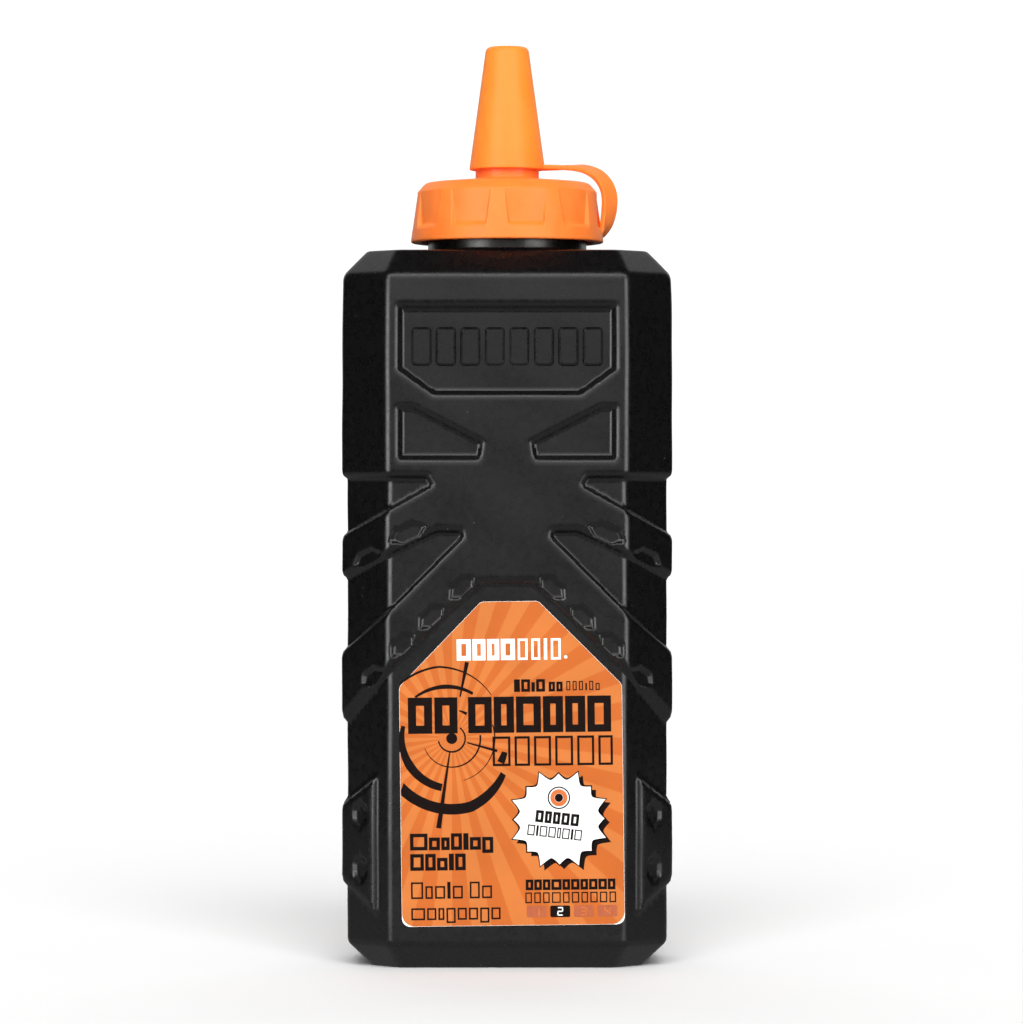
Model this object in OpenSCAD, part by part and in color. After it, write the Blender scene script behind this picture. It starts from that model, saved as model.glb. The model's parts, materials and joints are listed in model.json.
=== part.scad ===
/* [Bottle body] */
// Overall width across the side flats, mm
body_w = 72; // [55:0.5:95]
// Overall depth across the front and back flats, mm
body_d = 50; // [44:0.5:70]
// Height of the body, base to shoulder, mm
body_h = 156; // [120:0.5:200]
// Leg of each 45 degree corner face, mm
corner_cut = 10; // [6:0.5:14]
// Chamfer round the shoulder, mm
shoulder_chamfer = 5.5; // [3:0.1:8]
// Chamfer round the base, mm
base_chamfer = 5.3; // [3:0.1:8]
// Extra chamfer on the four corner faces, mm
corner_extra = 0.4; // [0.2:0.1:1]
// Blow-moulded wall, mm
wall = 1.1; // [0.7:0.05:2]
// Depth of the moulded recesses, mm
relief = 1.2; // [0.6:0.05:2]
// Depth of the small dents, mm
dent_depth = 0.55; // [0.2:0.05:1]
// Depth of the raised standing panel under the base, mm
base_push_up = 1; // [0.4:0.1:2]
// Width of the standing rim round that panel, mm
base_rim = 3; // [2:0.1:6]

/* [Moulded pattern] */
// Nameplate pocket, half its width, mm
plate_half = 23.7; // [15:0.1:26]
// Nameplate pocket, top edge below the shoulder, mm
plate_drop = 12.8; // [8:0.1:20]
// Nameplate pocket, height, mm
plate_h = 18.7; // [10:0.1:25]
// Triangle pockets, top edge height, mm
tri_top = 121.3; // [115:0.1:124]
// Triangle pockets, bottom edge height, mm
tri_bottom = 110.6; // [108:0.1:113]
// Upper groove, top edge height, mm
groove1_top = 106.5; // [104:0.1:108]
// Lower groove, top edge height, mm
groove2_top = 94.7; // [90:0.1:98]
// Label recess, top edge height, mm
recess_top = 83.6; // [75:0.1:88]
// Side lugs, inner edge from the middle, mm
lug_in = 28.8; // [26:0.1:32]
// Side lugs, top of the inner edge, mm
lug_top = 41.7; // [35:0.1:46]
// Side lugs, bottom of the inner edge, mm
lug_bottom = 12.1; // [9:0.1:16]
// Raised blocks in the nameplate
plate_bars = 8; // [4:1:9]
// Width of each raised block, mm
plate_bar_w = 4.2; // [2:0.1:4.8]
// Spacing of the raised blocks, mm
plate_bar_pitch = 5.3; // [5:0.1:5.4]
// Height of each raised block up the nameplate, mm
plate_bar_h = 8.2; // [4:0.1:9]
// Rise of those blocks above the pocket floor, mm
plate_bar_rise = 0.5; // [0.2:0.1:1]

/* [Neck and thread] */
// Neck radius at the thread root, mm
neck_r = 17.5; // [12:0.05:19]
// Neck height above the shoulder, mm
neck_h = 13.2; // [10:0.1:20]
// Neck wall, mm
neck_wall = 1.6; // [1:0.1:3]
// Thread pitch, mm
pitch = 4.233; // [2:0.001:6]
// Thread height, mm
thread_t = 1.25; // [0.6:0.05:2]
// Thread length in turns
thread_turns = 1.25; // [0.75:0.05:1.75]
// Drop from the neck's top to the middle of the thread's upper end, mm
thread_drop = 1.7; // [1.4:0.1:3]

/* [Closure] */
// Skirt wall at the rim, mm
skirt_rim_wall = 2.2; // [1.2:0.05:3]
// Skirt wall at its top, mm
skirt_top_wall = 0.75; // [0.6:0.05:1.5]
// Gap between shoulder and closure rim, mm
rim_gap = 2.4; // [1:0.1:5]
// Top plate thickness at its edge, mm
roof_t = 1.1; // [0.8:0.1:2]
// Height of the closure thread's lower end above the rim, mm
closure_thread_start = 1.4; // [1.3:0.1:2.5]
// Rounding of the closure's shoulder, mm
skirt_round = 1.8; // [0.5:0.1:2]
// Rise of the top plate from edge to collar, mm
dome_rise = 1.1; // [0.2:0.1:3]
// Number of grip panels
grips = 10; // [6:1:16]
// Width of each grip rib, degrees
rib_deg = 11.5; // [5:0.5:16]
// Deepest cut of the grip panels, mm
grip_depth = 0.85; // [0.3:0.05:1]
// Height of the plain ring under the panels, mm
grip_ring = 3.5; // [2:0.1:5]
// Angle of the first rib about the vertical, degrees
rib_phase = 264; // [0:1:360]
// Collar radius, mm
collar_r = 7; // [5:0.1:9]
// Collar height above the top plate, mm
collar_h = 2.1; // [1:0.1:4]
// Nozzle height above the collar, mm
nozzle_h = 14; // [8:0.5:24]
// Nozzle tip radius, mm
nozzle_tip_r = 3.6; // [2.5:0.1:4]
// Nozzle outlet radius, mm
outlet_r = 1.6; // [0.8:0.1:2]
// Nozzle and closure wall, mm
closure_wall = 1.3; // [0.9:0.05:1.6]

/* [Tip cap] */
// Tip cap height, mm
cap_h = 27.2; // [20:0.1:34]
// Tip cap wall at the base, mm
cap_base_wall = 1.2; // [0.8:0.05:2]
// Tip cap top radius, mm
cap_top_r = 4.65; // [4:0.05:6]
// Tip cap wall, mm
cap_wall = 1; // [0.7:0.05:1.5]
// Rounding of the tip cap's top, mm
cap_round = 1.3; // [0.5:0.1:2]
// Depth of the seal land in the tip cap, mm
cap_land = 2.2; // [1:0.1:4]

/* [Tether strap] */
// Strap width, mm
strap_w = 5; // [3:0.1:8]
// Strap thickness, mm
strap_t = 1.1; // [0.6:0.05:1.5]
// Reach of the strap past the closure rim, mm
strap_reach = 1.65; // [1.2:0.05:6]
// Radius of the strap's upper bend, mm
strap_bend = 6.2; // [3:0.1:8]

/* [Seals, label and fill] */
// Liner inside radius, mm
liner_in_r = 12; // [8:0.1:14]
// Liner thickness, mm
liner_t = 0.8; // [0.4:0.05:1.5]
// Foil seal thickness, mm
foil_t = 0.2; // [0.1:0.05:0.5]
// Label thickness, mm
label_t = 0.15; // [0.1:0.01:0.3]
// Label half width, mm
label_half = 24.1; // [18:0.1:24.5]
// Sideways offset of the front label, as applied, mm
label_shift = 0.95; // [-1:0.05:1]
// Turn of the front label, as applied, degrees
label_turn = 0.7; // [-1:0.1:1]
// Label bottom edge height, mm
label_bottom = 9.6; // [8:0.1:14]
// Label shoulder height, mm
label_shoulder = 61.5; // [50:0.1:66]
// Label top edge height, mm
label_top = 79.7; // [70:0.1:82]
// Label top edge, half its width, mm
label_top_half = 6.2; // [4:0.1:10]
// Label corner radius, mm
label_round = 1.8; // [0.5:0.1:4]
// Height the powder fills to, as a share of the body
fill_share = 0.9; // [0.3:0.01:0.94]

/* [Clearances] */
// Running gap between thread crest and facing root, mm
thread_gap = 0.3; // [0.15:0.05:0.5]
// Gap between tip cap and collar land, mm
cap_gap = 0.1; // [0.05:0.01:0.3]
// Gap between stacked sealing faces, mm
seal_gap = 0.05; // [0.02:0.01:0.1]
// Gap between powder and wall, mm
fill_gap = 0.05; // [0.02:0.01:0.2]

/* [Hidden] */
$fn = 96;
// Pattern scales with the body
kx = body_w / 72;
kz = body_h / 156;
half_w = body_w / 2;
half_d = body_d / 2;
flat_half = half_w - corner_cut;
out_x = half_w + 2;
diag_half = (half_w + half_d - corner_cut) / sqrt(2);
mitre = 2 - sqrt(2);
cavity_t = relief + wall;
cavity_base = base_push_up + wall;
recess_y = half_d - relief;
neck_top = body_h + neck_h;
neck_bore = neck_r - neck_wall;
thread_crest = neck_r + thread_t;
thread_z = neck_top - thread_drop - pitch * thread_turns;
skirt_in = thread_crest + thread_gap;
skirt_r = skirt_in + skirt_rim_wall;
skirt_top_r = skirt_in + skirt_top_wall;
rim_z = body_h + rim_gap;
foil_top = neck_top + foil_t;
liner_z = foil_top + seal_gap;
roof_z = liner_z + liner_t + seal_gap;
closure_thread_z = rim_z + closure_thread_start;
// Angle at which the closure thread's own helix, half a pitch below the bottle's, reaches that height
closure_thread_turn = 360 * (closure_thread_z - thread_z + pitch / 2) / pitch;
plate_edge_z = roof_z + roof_t;
edge_z = plate_edge_z - skirt_round;
skirt_h = edge_z - rim_z;
plate_top_z = plate_edge_z + dome_rise;
collar_top = plate_top_z + collar_h;
cap_z = collar_top;
land_top = cap_z + cap_land;
nozzle_top = collar_top + nozzle_h;
cap_in_base = collar_r + cap_gap;
cap_base_r = cap_in_base + cap_base_wall;
cap_in_top = cap_top_r - cap_wall;
cap_top_z = cap_z + cap_h;
cap_rim = 0.5;
strap_y = cap_z + strap_t / 2 - 0.05;
strap_x = skirt_r + strap_reach;
strap_foot_z = rim_z + 1.9;

// Outline helpers

// Octagon of width w and depth d with 45 degree corners of leg c
function octagon(w, d, c) = [
  [-w / 2 + c, -d / 2], [w / 2 - c, -d / 2], [w / 2, -d / 2 + c], [w / 2, d / 2 - c],
  [w / 2 - c, d / 2], [-w / 2 + c, d / 2], [-w / 2, d / 2 - c], [-w / 2, -d / 2 + c]
];

// Upright section of half width a from z0 to z1 with chamfers cb below and ct above
function upright(a, z0, z1, cb, ct) = [
  [-a + cb, z0], [a - cb, z0], [a, z0 + cb], [a, z1 - ct],
  [a - ct, z1], [-a + ct, z1], [-a, z1 - ct], [-a, z0 + cb]
];

// Corner i of a closed outline turned into an arc of radius r
function corner_arc(p, i, r, n) =
  let (c = p[i], a = p[(i + len(p) - 1) % len(p)], b = p[(i + 1) % len(p)],
       u = (a - c) / norm(a - c), v = (b - c) / norm(b - c),
       half = acos(u * v) / 2, m = (u + v) / norm(u + v),
       o = c + m * r / sin(half), s = c + u * r / tan(half), e = c + v * r / tan(half),
       w0 = atan2(s[1] - o[1], s[0] - o[0]), w1 = atan2(e[1] - o[1], e[0] - o[0]),
       turn = (w1 - w0 + 540) % 360 - 180)
  [for (k = [0 : n]) o + r * [cos(w0 + turn * k / n), sin(w0 + turn * k / n)]];

function rounded(p, r, n) = [for (i = [0 : len(p) - 1]) each corner_arc(p, i, r, n)];

// Body block helpers

// Chamfered octagonal block moved in by t on its sides, standing on z0
module block(t, z0, cb) {
  z1 = body_h - t;
  ct = max(0.5, shoulder_chamfer - mitre * t);
  ce = corner_extra;
  intersection() {
    translate([0, 0, z0])
      linear_extrude(height = z1 - z0)
        polygon(octagon(body_w - 2 * t, body_d - 2 * t, corner_cut - mitre * t));
    rotate([90, 0, 0])
      linear_extrude(height = body_d + 4, center = true)
        polygon(upright(half_w - t, z0, z1, cb, ct));
    rotate([90, 0, 90])
      linear_extrude(height = body_w + 4, center = true)
        polygon(upright(half_d - t, z0, z1, cb, ct));
    rotate([90, 0, 45])
      linear_extrude(height = body_w + body_d, center = true)
        polygon(upright(diag_half - t, z0, z1, cb + ce, ct + ce));
    rotate([90, 0, 135])
      linear_extrude(height = body_w + body_d, center = true)
        polygon(upright(diag_half - t, z0, z1, cb + ce, ct + ce));
  }
}

// A flat pattern in x and z, drawn through the whole depth and on both sides of the middle
module through(depth) {
  rotate([90, 0, 0])
    linear_extrude(height = depth, center = true)
      children();
}

module both_sides() {
  children();
  mirror([1, 0]) children();
}

// Nameplate pocket outline
module plate_outline() {
  top = body_h - plate_drop * kz;
  low = top - plate_h * kz;
  w = plate_half * kx;
  side = low + 5.4 * kz;
  polygon([[-w, top], [-w, side], [-w + 7.6 * kx, low], [w - 7.6 * kx, low], [w, side], [w, top]]);
}

// Everything on one side that is moulded in by the relief depth
module side_recesses() {
  // Triangle pocket
  polygon([[23.3 * kx, tri_top * kz], [20.6 * kx, tri_top * kz], [5.9 * kx, (tri_bottom + 3.2) * kz],
           [6.4 * kx, tri_bottom * kz], [23.3 * kx, tri_bottom * kz]]);
  // Upper groove
  polygon([[out_x, groove1_top * kz], [17.6 * kx, groove1_top * kz], [16.7 * kx, (groove1_top - 1.6) * kz],
           [out_x, (groove1_top - 13.0) * kz]]);
  // Lower groove
  polygon([[out_x, (groove2_top - 10.9) * kz], [15.4 * kx, groove2_top * kz], [10.2 * kx, groove2_top * kz],
           [10 * kx, (groove2_top - 1.1) * kz], [24.8 * kx, (groove2_top - 15.9) * kz],
           [out_x, (groove2_top - 27) * kz]]);
  // Label recess and the side below it, with the lug left standing
  polygon([[0, recess_top * kz], [5.9 * kx, recess_top * kz], [25.2 * kx, (recess_top - 18.2) * kz],
           [half_w, (recess_top - 30) * kz], [out_x, (recess_top - 32) * kz],
           [out_x, (lug_top - 7.2) * kz], [half_w, (lug_top - 5.6) * kz], [lug_in * kx, lug_top * kz],
           [lug_in * kx, lug_bottom * kz], [half_w, (lug_bottom + 5.9) * kz],
           [out_x, (lug_bottom + 7.5) * kz], [out_x, -1], [0, -1]]);
}

// Six-sided dent of length l and height h, tilted by a degrees
module dent(x, z, l, h, a) {
  translate([x * kx, z * kz])
    rotate(a)
      polygon([[-l / 2, 0], [-l / 4, h / 2], [l / 4, h / 2], [l / 2, 0], [l / 4, -h / 2], [-l / 4, -h / 2]]);
}

module side_dents() {
  dent(21.4, 94.4, 6.8, 3, -22);
  dent(9.8, 82.6, 5.8, 3, -43);
  dent(16.4, 76.2, 5.8, 3, -43);
  dent(22.7, 70.1, 5.6, 3, -43);
  dent(30.3, 88.8, 5.4, 3, -24);
  dent(29.2, 63.2, 4.8, 3, -36);
  dent(32, 33.3, 5.4, 2.6, 90);
  dent(32, 21.4, 5.4, 2.6, 90);
}

module front_recesses() {
  plate_outline();
  both_sides() side_recesses();
}

// Trapezoid thread along a helix: width b at radius r0, width t at radius r1, run in at both ends
module helix_ridge(r0, r1, b, t, z0, turns) {
  n = round(turns * 36);
  function ease(i) = min(1, min(i, n - i) / 3);
  function ring(i) =
    let (a = 360 * turns * i / n, z = z0 + pitch * turns * i / n, k = ease(i),
         rk = r0 + (r1 - r0) * max(k, 0.05), wb = b / 2 * max(k, 0.5), wt = t / 2 * max(k, 0.5))
    [[r0 * cos(a), r0 * sin(a), z - wb], [rk * cos(a), rk * sin(a), z - wt],
     [rk * cos(a), rk * sin(a), z + wt], [r0 * cos(a), r0 * sin(a), z + wb]];
  flip = r1 > r0;
  pts = [for (i = [0 : n]) each ring(i)];
  walls = [for (i = [0 : n - 1], j = [0 : 3])
    let (p = 4 * i + j, q = 4 * i + (j + 1) % 4)
    each [[p, q, q + 4], [p, q + 4, p + 4]]];
  caps = [[0, 3, 2], [0, 2, 1], [4 * n, 4 * n + 1, 4 * n + 2], [4 * n, 4 * n + 2, 4 * n + 3]];
  faces = [for (f = concat(walls, caps)) flip ? f : [f[2], f[1], f[0]]];
  polyhedron(points = pts, faces = faces);
}

// Sub-parts

module bottle() {
  color([0.02, 0.02, 0.022])
  difference() {
    union() {
      block(relief, 0, base_chamfer);
      difference() {
        block(dent_depth, 0, base_chamfer);
        through(body_d + 10) front_recesses();
      }
      difference() {
        block(0, 0, base_chamfer);
        through(body_d + 10) front_recesses();
        through(body_d + 10) both_sides() side_dents();
      }
      for (i = [0 : plate_bars - 1])
        translate([(i - (plate_bars - 1) / 2) * plate_bar_pitch * kx, 0,
                   body_h - (plate_drop + plate_h / 2 - 0.95) * kz])
          cube([plate_bar_w * kx, 2 * recess_y + 2 * plate_bar_rise, plate_bar_h * kz], center = true);
      translate([0, 0, body_h - cavity_t])
        cylinder(h = neck_h + cavity_t, r = neck_r);
      helix_ridge(neck_r - 0.4, thread_crest, 2.6, 1, thread_z, thread_turns);
    }
    block(cavity_t, cavity_base, base_chamfer - mitre * wall);
    translate([0, 0, body_h - cavity_t - 1])
      cylinder(h = neck_h + cavity_t + 2, r = neck_bore);
    translate([0, 0, -1])
      linear_extrude(height = base_push_up + 1)
        polygon(octagon(body_w - 2 * (relief + base_chamfer + base_rim),
                        body_d - 2 * (relief + base_chamfer + base_rim),
                        max(1, corner_cut - mitre * (relief + base_chamfer + base_rim))));
  }
}

module chalk_fill() {
  color([0.95, 0.36, 0.1])
  intersection() {
    block(cavity_t + fill_gap, cavity_base + fill_gap, base_chamfer - mitre * wall);
    translate([-body_w, -body_d, 0])
      cube([2 * body_w, 2 * body_d, body_h * fill_share]);
  }
}

module foil_seal() {
  color([0.78, 0.79, 0.8])
  translate([0, 0, neck_top])
    cylinder(h = foil_t, r = neck_r - 0.3);
}

module label_shape(shift, turn) {
  mid = (label_bottom + label_top) / 2 * kz;
  linear_extrude(height = label_t)
    translate([shift, mid])
      rotate(turn)
        translate([0, -mid])
          polygon(rounded([[-label_half * kx, label_bottom * kz], [label_half * kx, label_bottom * kz],
                           [label_half * kx, label_shoulder * kz], [label_top_half * kx, label_top * kz],
                           [-label_top_half * kx, label_top * kz], [-label_half * kx, label_shoulder * kz]],
                          label_round, 6));
}

module front_label() {
  color([0.92, 0.45, 0.16])
  translate([0, -recess_y, 0])
    rotate([90, 0, 0])
      label_shape(label_shift * kx, label_turn);
}

module back_label() {
  color([0.92, 0.45, 0.16])
  rotate([0, 0, 180])
    translate([0, -recess_y, 0])
      rotate([90, 0, 0])
        label_shape(0, 0);
}

module closure_liner() {
  color([0.9, 0.9, 0.86])
  translate([0, 0, liner_z])
    rotate_extrude()
      translate([liner_in_r, 0])
        square([neck_r + 0.7 - liner_in_r, liner_t]);
}

// Half section of the closure, rim to nozzle tip
function arc_points(cx, cz, r, a0, a1, n) =
  [for (k = [0 : n]) [cx + r * cos(a0 + (a1 - a0) * k / n), cz + r * sin(a0 + (a1 - a0) * k / n)]];

module closure_shell() {
  rotate_extrude()
    difference() {
      union() {
        polygon(concat(
          [[0, roof_z - 1], [skirt_in - 1, roof_z - 1], [skirt_in - 1, rim_z], [skirt_r, rim_z],
           [skirt_r, rim_z + 0.6], [skirt_top_r, edge_z]],
          [[skirt_top_r - skirt_round, plate_edge_z], [collar_r, plate_top_z], [0, plate_top_z]]));
        intersection() {
          translate([skirt_top_r - skirt_round, edge_z])
            circle(r = skirt_round);
          translate([0, edge_z])
            square([skirt_r, plate_edge_z - edge_z]);
        }
        polygon([[0, plate_top_z - 1], [collar_r, plate_top_z - 1], [collar_r, land_top - 0.3],
                 [collar_r - 0.3, land_top], [nozzle_tip_r + 0.4, nozzle_top - 0.4],
                 [nozzle_tip_r, nozzle_top], [0, nozzle_top]]);
      }
      translate([0, rim_z - 1])
        square([skirt_in, roof_z - rim_z + 1]);
      polygon([[0, roof_z - 1], [collar_r - closure_wall, roof_z - 1],
               [collar_r - closure_wall, land_top - 1], [outlet_r, nozzle_top - 1.5], [outlet_r, nozzle_top + 1], [0, nozzle_top + 1]]);
    }
}

// One grip panel, cut to a plain vertical cylinder
module grip_cut() {
  span = (360 / grips - rib_deg) / 2;
  far = skirt_r + 3;
  translate([0, 0, rim_z + grip_ring])
    linear_extrude(height = skirt_h - grip_ring + 0.6)
      difference() {
        polygon([[0, 0], [far, -far * tan(span)], [far, far * tan(span)]]);
        circle(r = skirt_r - (skirt_r - skirt_top_r) * grip_ring / skirt_h - grip_depth);
      }
}

module spout_closure() {
  color([1, 0.42, 0.1])
  union() {
    difference() {
      closure_shell();
      for (i = [0 : grips - 1])
        rotate([0, 0, rib_phase + (i + 0.5) * 360 / grips])
          grip_cut();
    }
    rotate([0, 0, closure_thread_turn])
      helix_ridge(skirt_in + 0.4, neck_r + thread_gap, 2.4, 0.8, closure_thread_z, thread_turns);
  }
}

// Middle line of the strap: out from the tip cap, over the bend, down to the rim
function strap_line() = concat(
  [[cap_base_r + 0.03, strap_y]],
  arc_points(strap_x - strap_bend, strap_y - strap_bend, strap_bend, 90, 0, 12),
  [[strap_x - 0.25, (strap_y - strap_bend + strap_foot_z) / 2 + 1]],
  arc_points(strap_x - 2.3, strap_foot_z + 1.6, 1.6, -10, -90, 4),
  [[skirt_r - 1, strap_foot_z]]);

function strap_side(p, s) = [for (i = [0 : len(p) - 1])
  let (a = p[max(0, i - 1)], b = p[min(len(p) - 1, i + 1)], d = (b - a) / norm(b - a))
  p[i] + s * [-d[1], d[0]]];

module tether_strap() {
  color([1, 0.42, 0.1])
  rotate([90, 0, 0])
    linear_extrude(height = strap_w, center = true)
      polygon(concat(strap_side(strap_line(), strap_t / 2),
                     [for (i = [len(strap_line()) - 1 : -1 : 0]) strap_side(strap_line(), -strap_t / 2)[i]]));
}

module tip_cap() {
  r1 = cap_top_r;
  color([1, 0.42, 0.1])
  rotate_extrude()
    difference() {
      union() {
        polygon([[0, cap_z + seal_gap], [cap_base_r, cap_z + seal_gap],
                 [cap_base_r, cap_z + cap_rim + seal_gap], [r1 + 0.05, cap_top_z - cap_round],
                 [r1 - cap_round, cap_top_z - cap_round / 2], [0, cap_top_z - cap_round / 2]]);
        intersection() {
          translate([r1 + 0.05 - cap_round, cap_top_z - cap_round])
            circle(r = cap_round);
          translate([0, cap_top_z - cap_round])
            square([r1 + 1, cap_round]);
        }
        translate([0, cap_top_z - cap_round])
          square([r1 + 0.05 - cap_round, cap_round]);
      }
      polygon([[0, cap_z - 1], [cap_in_base, cap_z - 1], [cap_in_base, land_top],
               [cap_in_top, cap_top_z - cap_wall - 1], [0, cap_top_z - cap_wall]]);
    }
}

bottle();
chalk_fill();
foil_seal();
front_label();
back_label();
closure_liner();
spout_closure();
tether_strap();
tip_cap();
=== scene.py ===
"""Looks for a marking chalk refill bottle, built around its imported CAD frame.

Every shape is worked out in millimetres as a whole numpy array and scaled to metres when its mesh is made.
"""

from __future__ import annotations

import json
import logging
import math
from dataclasses import dataclass, field
from enum import Enum
from functools import partial

import bpy
import numpy as np
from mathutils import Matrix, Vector

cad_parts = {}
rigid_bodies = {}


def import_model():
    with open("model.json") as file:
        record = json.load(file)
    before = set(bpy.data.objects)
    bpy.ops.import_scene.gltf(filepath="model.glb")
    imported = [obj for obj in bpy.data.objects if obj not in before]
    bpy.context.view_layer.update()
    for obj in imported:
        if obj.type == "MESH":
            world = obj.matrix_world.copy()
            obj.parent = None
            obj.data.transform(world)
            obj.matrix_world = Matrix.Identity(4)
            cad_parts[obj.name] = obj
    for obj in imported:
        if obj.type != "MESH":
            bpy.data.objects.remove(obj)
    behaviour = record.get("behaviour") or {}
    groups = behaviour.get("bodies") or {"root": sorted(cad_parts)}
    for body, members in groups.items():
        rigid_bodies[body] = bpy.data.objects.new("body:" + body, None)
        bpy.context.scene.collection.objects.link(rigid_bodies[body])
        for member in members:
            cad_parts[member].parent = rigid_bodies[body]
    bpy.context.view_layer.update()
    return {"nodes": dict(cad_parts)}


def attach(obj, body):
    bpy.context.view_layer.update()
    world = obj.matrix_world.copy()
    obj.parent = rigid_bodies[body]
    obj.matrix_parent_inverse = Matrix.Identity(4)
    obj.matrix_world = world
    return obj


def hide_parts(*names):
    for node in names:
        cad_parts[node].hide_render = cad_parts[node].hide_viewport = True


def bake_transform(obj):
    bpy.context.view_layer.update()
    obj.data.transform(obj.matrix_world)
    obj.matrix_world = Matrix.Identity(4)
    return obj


Signal = bpy.types.NodeSocket | float | tuple
Colour = tuple[float, float, float]

LOG = logging.getLogger("refill_bottle")
MM = 0.001  # metres in a millimetre
TINY = 1e-12  # keeps a division safe where a length is nothing
NOISE = (0.3, 0.7)  # most values of a noise texture lie between these

PITCH = 4.233  # rise of both threads in one turn
THREAD_START = 162.2  # height at which the neck's thread starts
THREAD_TURNS = 1.25
THREAD_STEPS = 150
THREAD_EASE = 0.06  # share of a thread's run over which each end thins out
TARGET = (-11.9, 50.2)  # middle of the front label's rings and sunburst, in x and z


# ---------------------------------------------------------------- shapes


def fillet_path(corners: list[tuple[float, float]], radii: list[float], closed: bool = False,
                arc: int = 6, step: float = math.inf) -> np.ndarray:
    """Polyline whose corners are arcs tangent to both neighbouring lines.

    An arc of radius r at a corner of half angle h starts r / tan(h) before the corner. Lines longer than
    step are divided evenly.

    Args:
        corners: Corner points.
        radii: Arc radius at each corner, 0 for a plain point.
        closed: Whether the last corner joins the first.
        arc: Segments in each arc.
        step: Longest line segment.

    Returns:
        Points along the path, one row each.
    """
    p = np.array(corners, float)
    n = len(p)
    out: list[np.ndarray] = []
    for i in range(n):
        r = radii[i]
        if r <= 0 or (not closed and i in (0, n - 1)):
            out.append(p[i])
            continue
        a, b = p[(i - 1) % n] - p[i], p[(i + 1) % n] - p[i]
        a, b = a / np.linalg.norm(a), b / np.linalg.norm(b)
        half = math.acos(float(np.clip(a @ b, -1, 1))) / 2
        start, end = p[i] + a * r / math.tan(half), p[i] + b * r / math.tan(half)
        centre = p[i] + (a + b) / np.linalg.norm(a + b) * r / math.sin(half)
        u, v = start - centre, end - centre
        t0 = math.atan2(u[1], u[0])
        turn = (math.atan2(v[1], v[0]) - t0 + math.pi) % (2 * math.pi) - math.pi
        for k in range(arc + 1):
            t = t0 + turn * k / arc
            out.append(centre + r * np.array([math.cos(t), math.sin(t)]))
    path = [out[0]]
    for q in out[1:] + ([out[0]] if closed else []):
        length = float(np.linalg.norm(q - path[-1]))
        parts = max(1, math.ceil(length / step))
        base = path[-1]
        path += [base + (q - base) * k / parts for k in range(1, parts + 1)]
    if closed:
        path.pop()
    return np.array(path)


def linked(name: str, data: bpy.types.ID) -> bpy.types.Object:
    """Makes an object of some data and links it into the scene.

    Args:
        name: Object name.
        data: Mesh, light or camera.

    Returns:
        The linked object.
    """
    thing = bpy.data.objects.new(name, data)
    bpy.context.scene.collection.objects.link(thing)
    return thing


def rectangle(name: str, width: float, length: float) -> bpy.types.Object:
    """Flat rectangle in metres about the origin, facing up.

    Args:
        name: Object and mesh name.
        width: Size along x.
        length: Size along y.

    Returns:
        The linked object.
    """
    x, y = width / 2, length / 2
    mesh = bpy.data.meshes.new(name)
    mesh.from_pydata([(-x, -y, 0), (x, -y, 0), (x, y, 0), (-x, y, 0)], [], [(0, 1, 2, 3)])
    return linked(name, mesh)


def mesh_object(name: str, points: np.ndarray, faces: list[np.ndarray],
                smooth: bool = True) -> bpy.types.Object:
    """Puts points and faces into a new object at the origin.

    Args:
        name: Object and mesh name.
        points: Vertices in millimetres, one row each.
        faces: Blocks of vertex indices. A block's rows are faces with the same number of corners.
        smooth: Whether faces are shaded smooth.

    Returns:
        The linked object.
    """
    mesh = bpy.data.meshes.new(name)
    sizes = np.concatenate([np.full(len(block), block.shape[1], np.int32) for block in faces])
    loops = np.concatenate([block.ravel() for block in faces]).astype(np.int32)
    mesh.vertices.add(len(points))
    mesh.vertices.foreach_set("co", (np.asarray(points) * MM).astype(np.float32).ravel())
    mesh.loops.add(len(loops))
    mesh.loops.foreach_set("vertex_index", loops)
    mesh.polygons.add(len(sizes))
    mesh.polygons.foreach_set("loop_start", np.concatenate([[0], np.cumsum(sizes)[:-1]]).astype(np.int32))
    mesh.polygons.foreach_set("use_smooth", np.full(len(sizes), smooth))
    mesh.update(calc_edges=True)
    mesh.validate()
    LOG.info("%s: %d points, %d faces", name, len(points), len(sizes))
    return linked(name, mesh)


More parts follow.
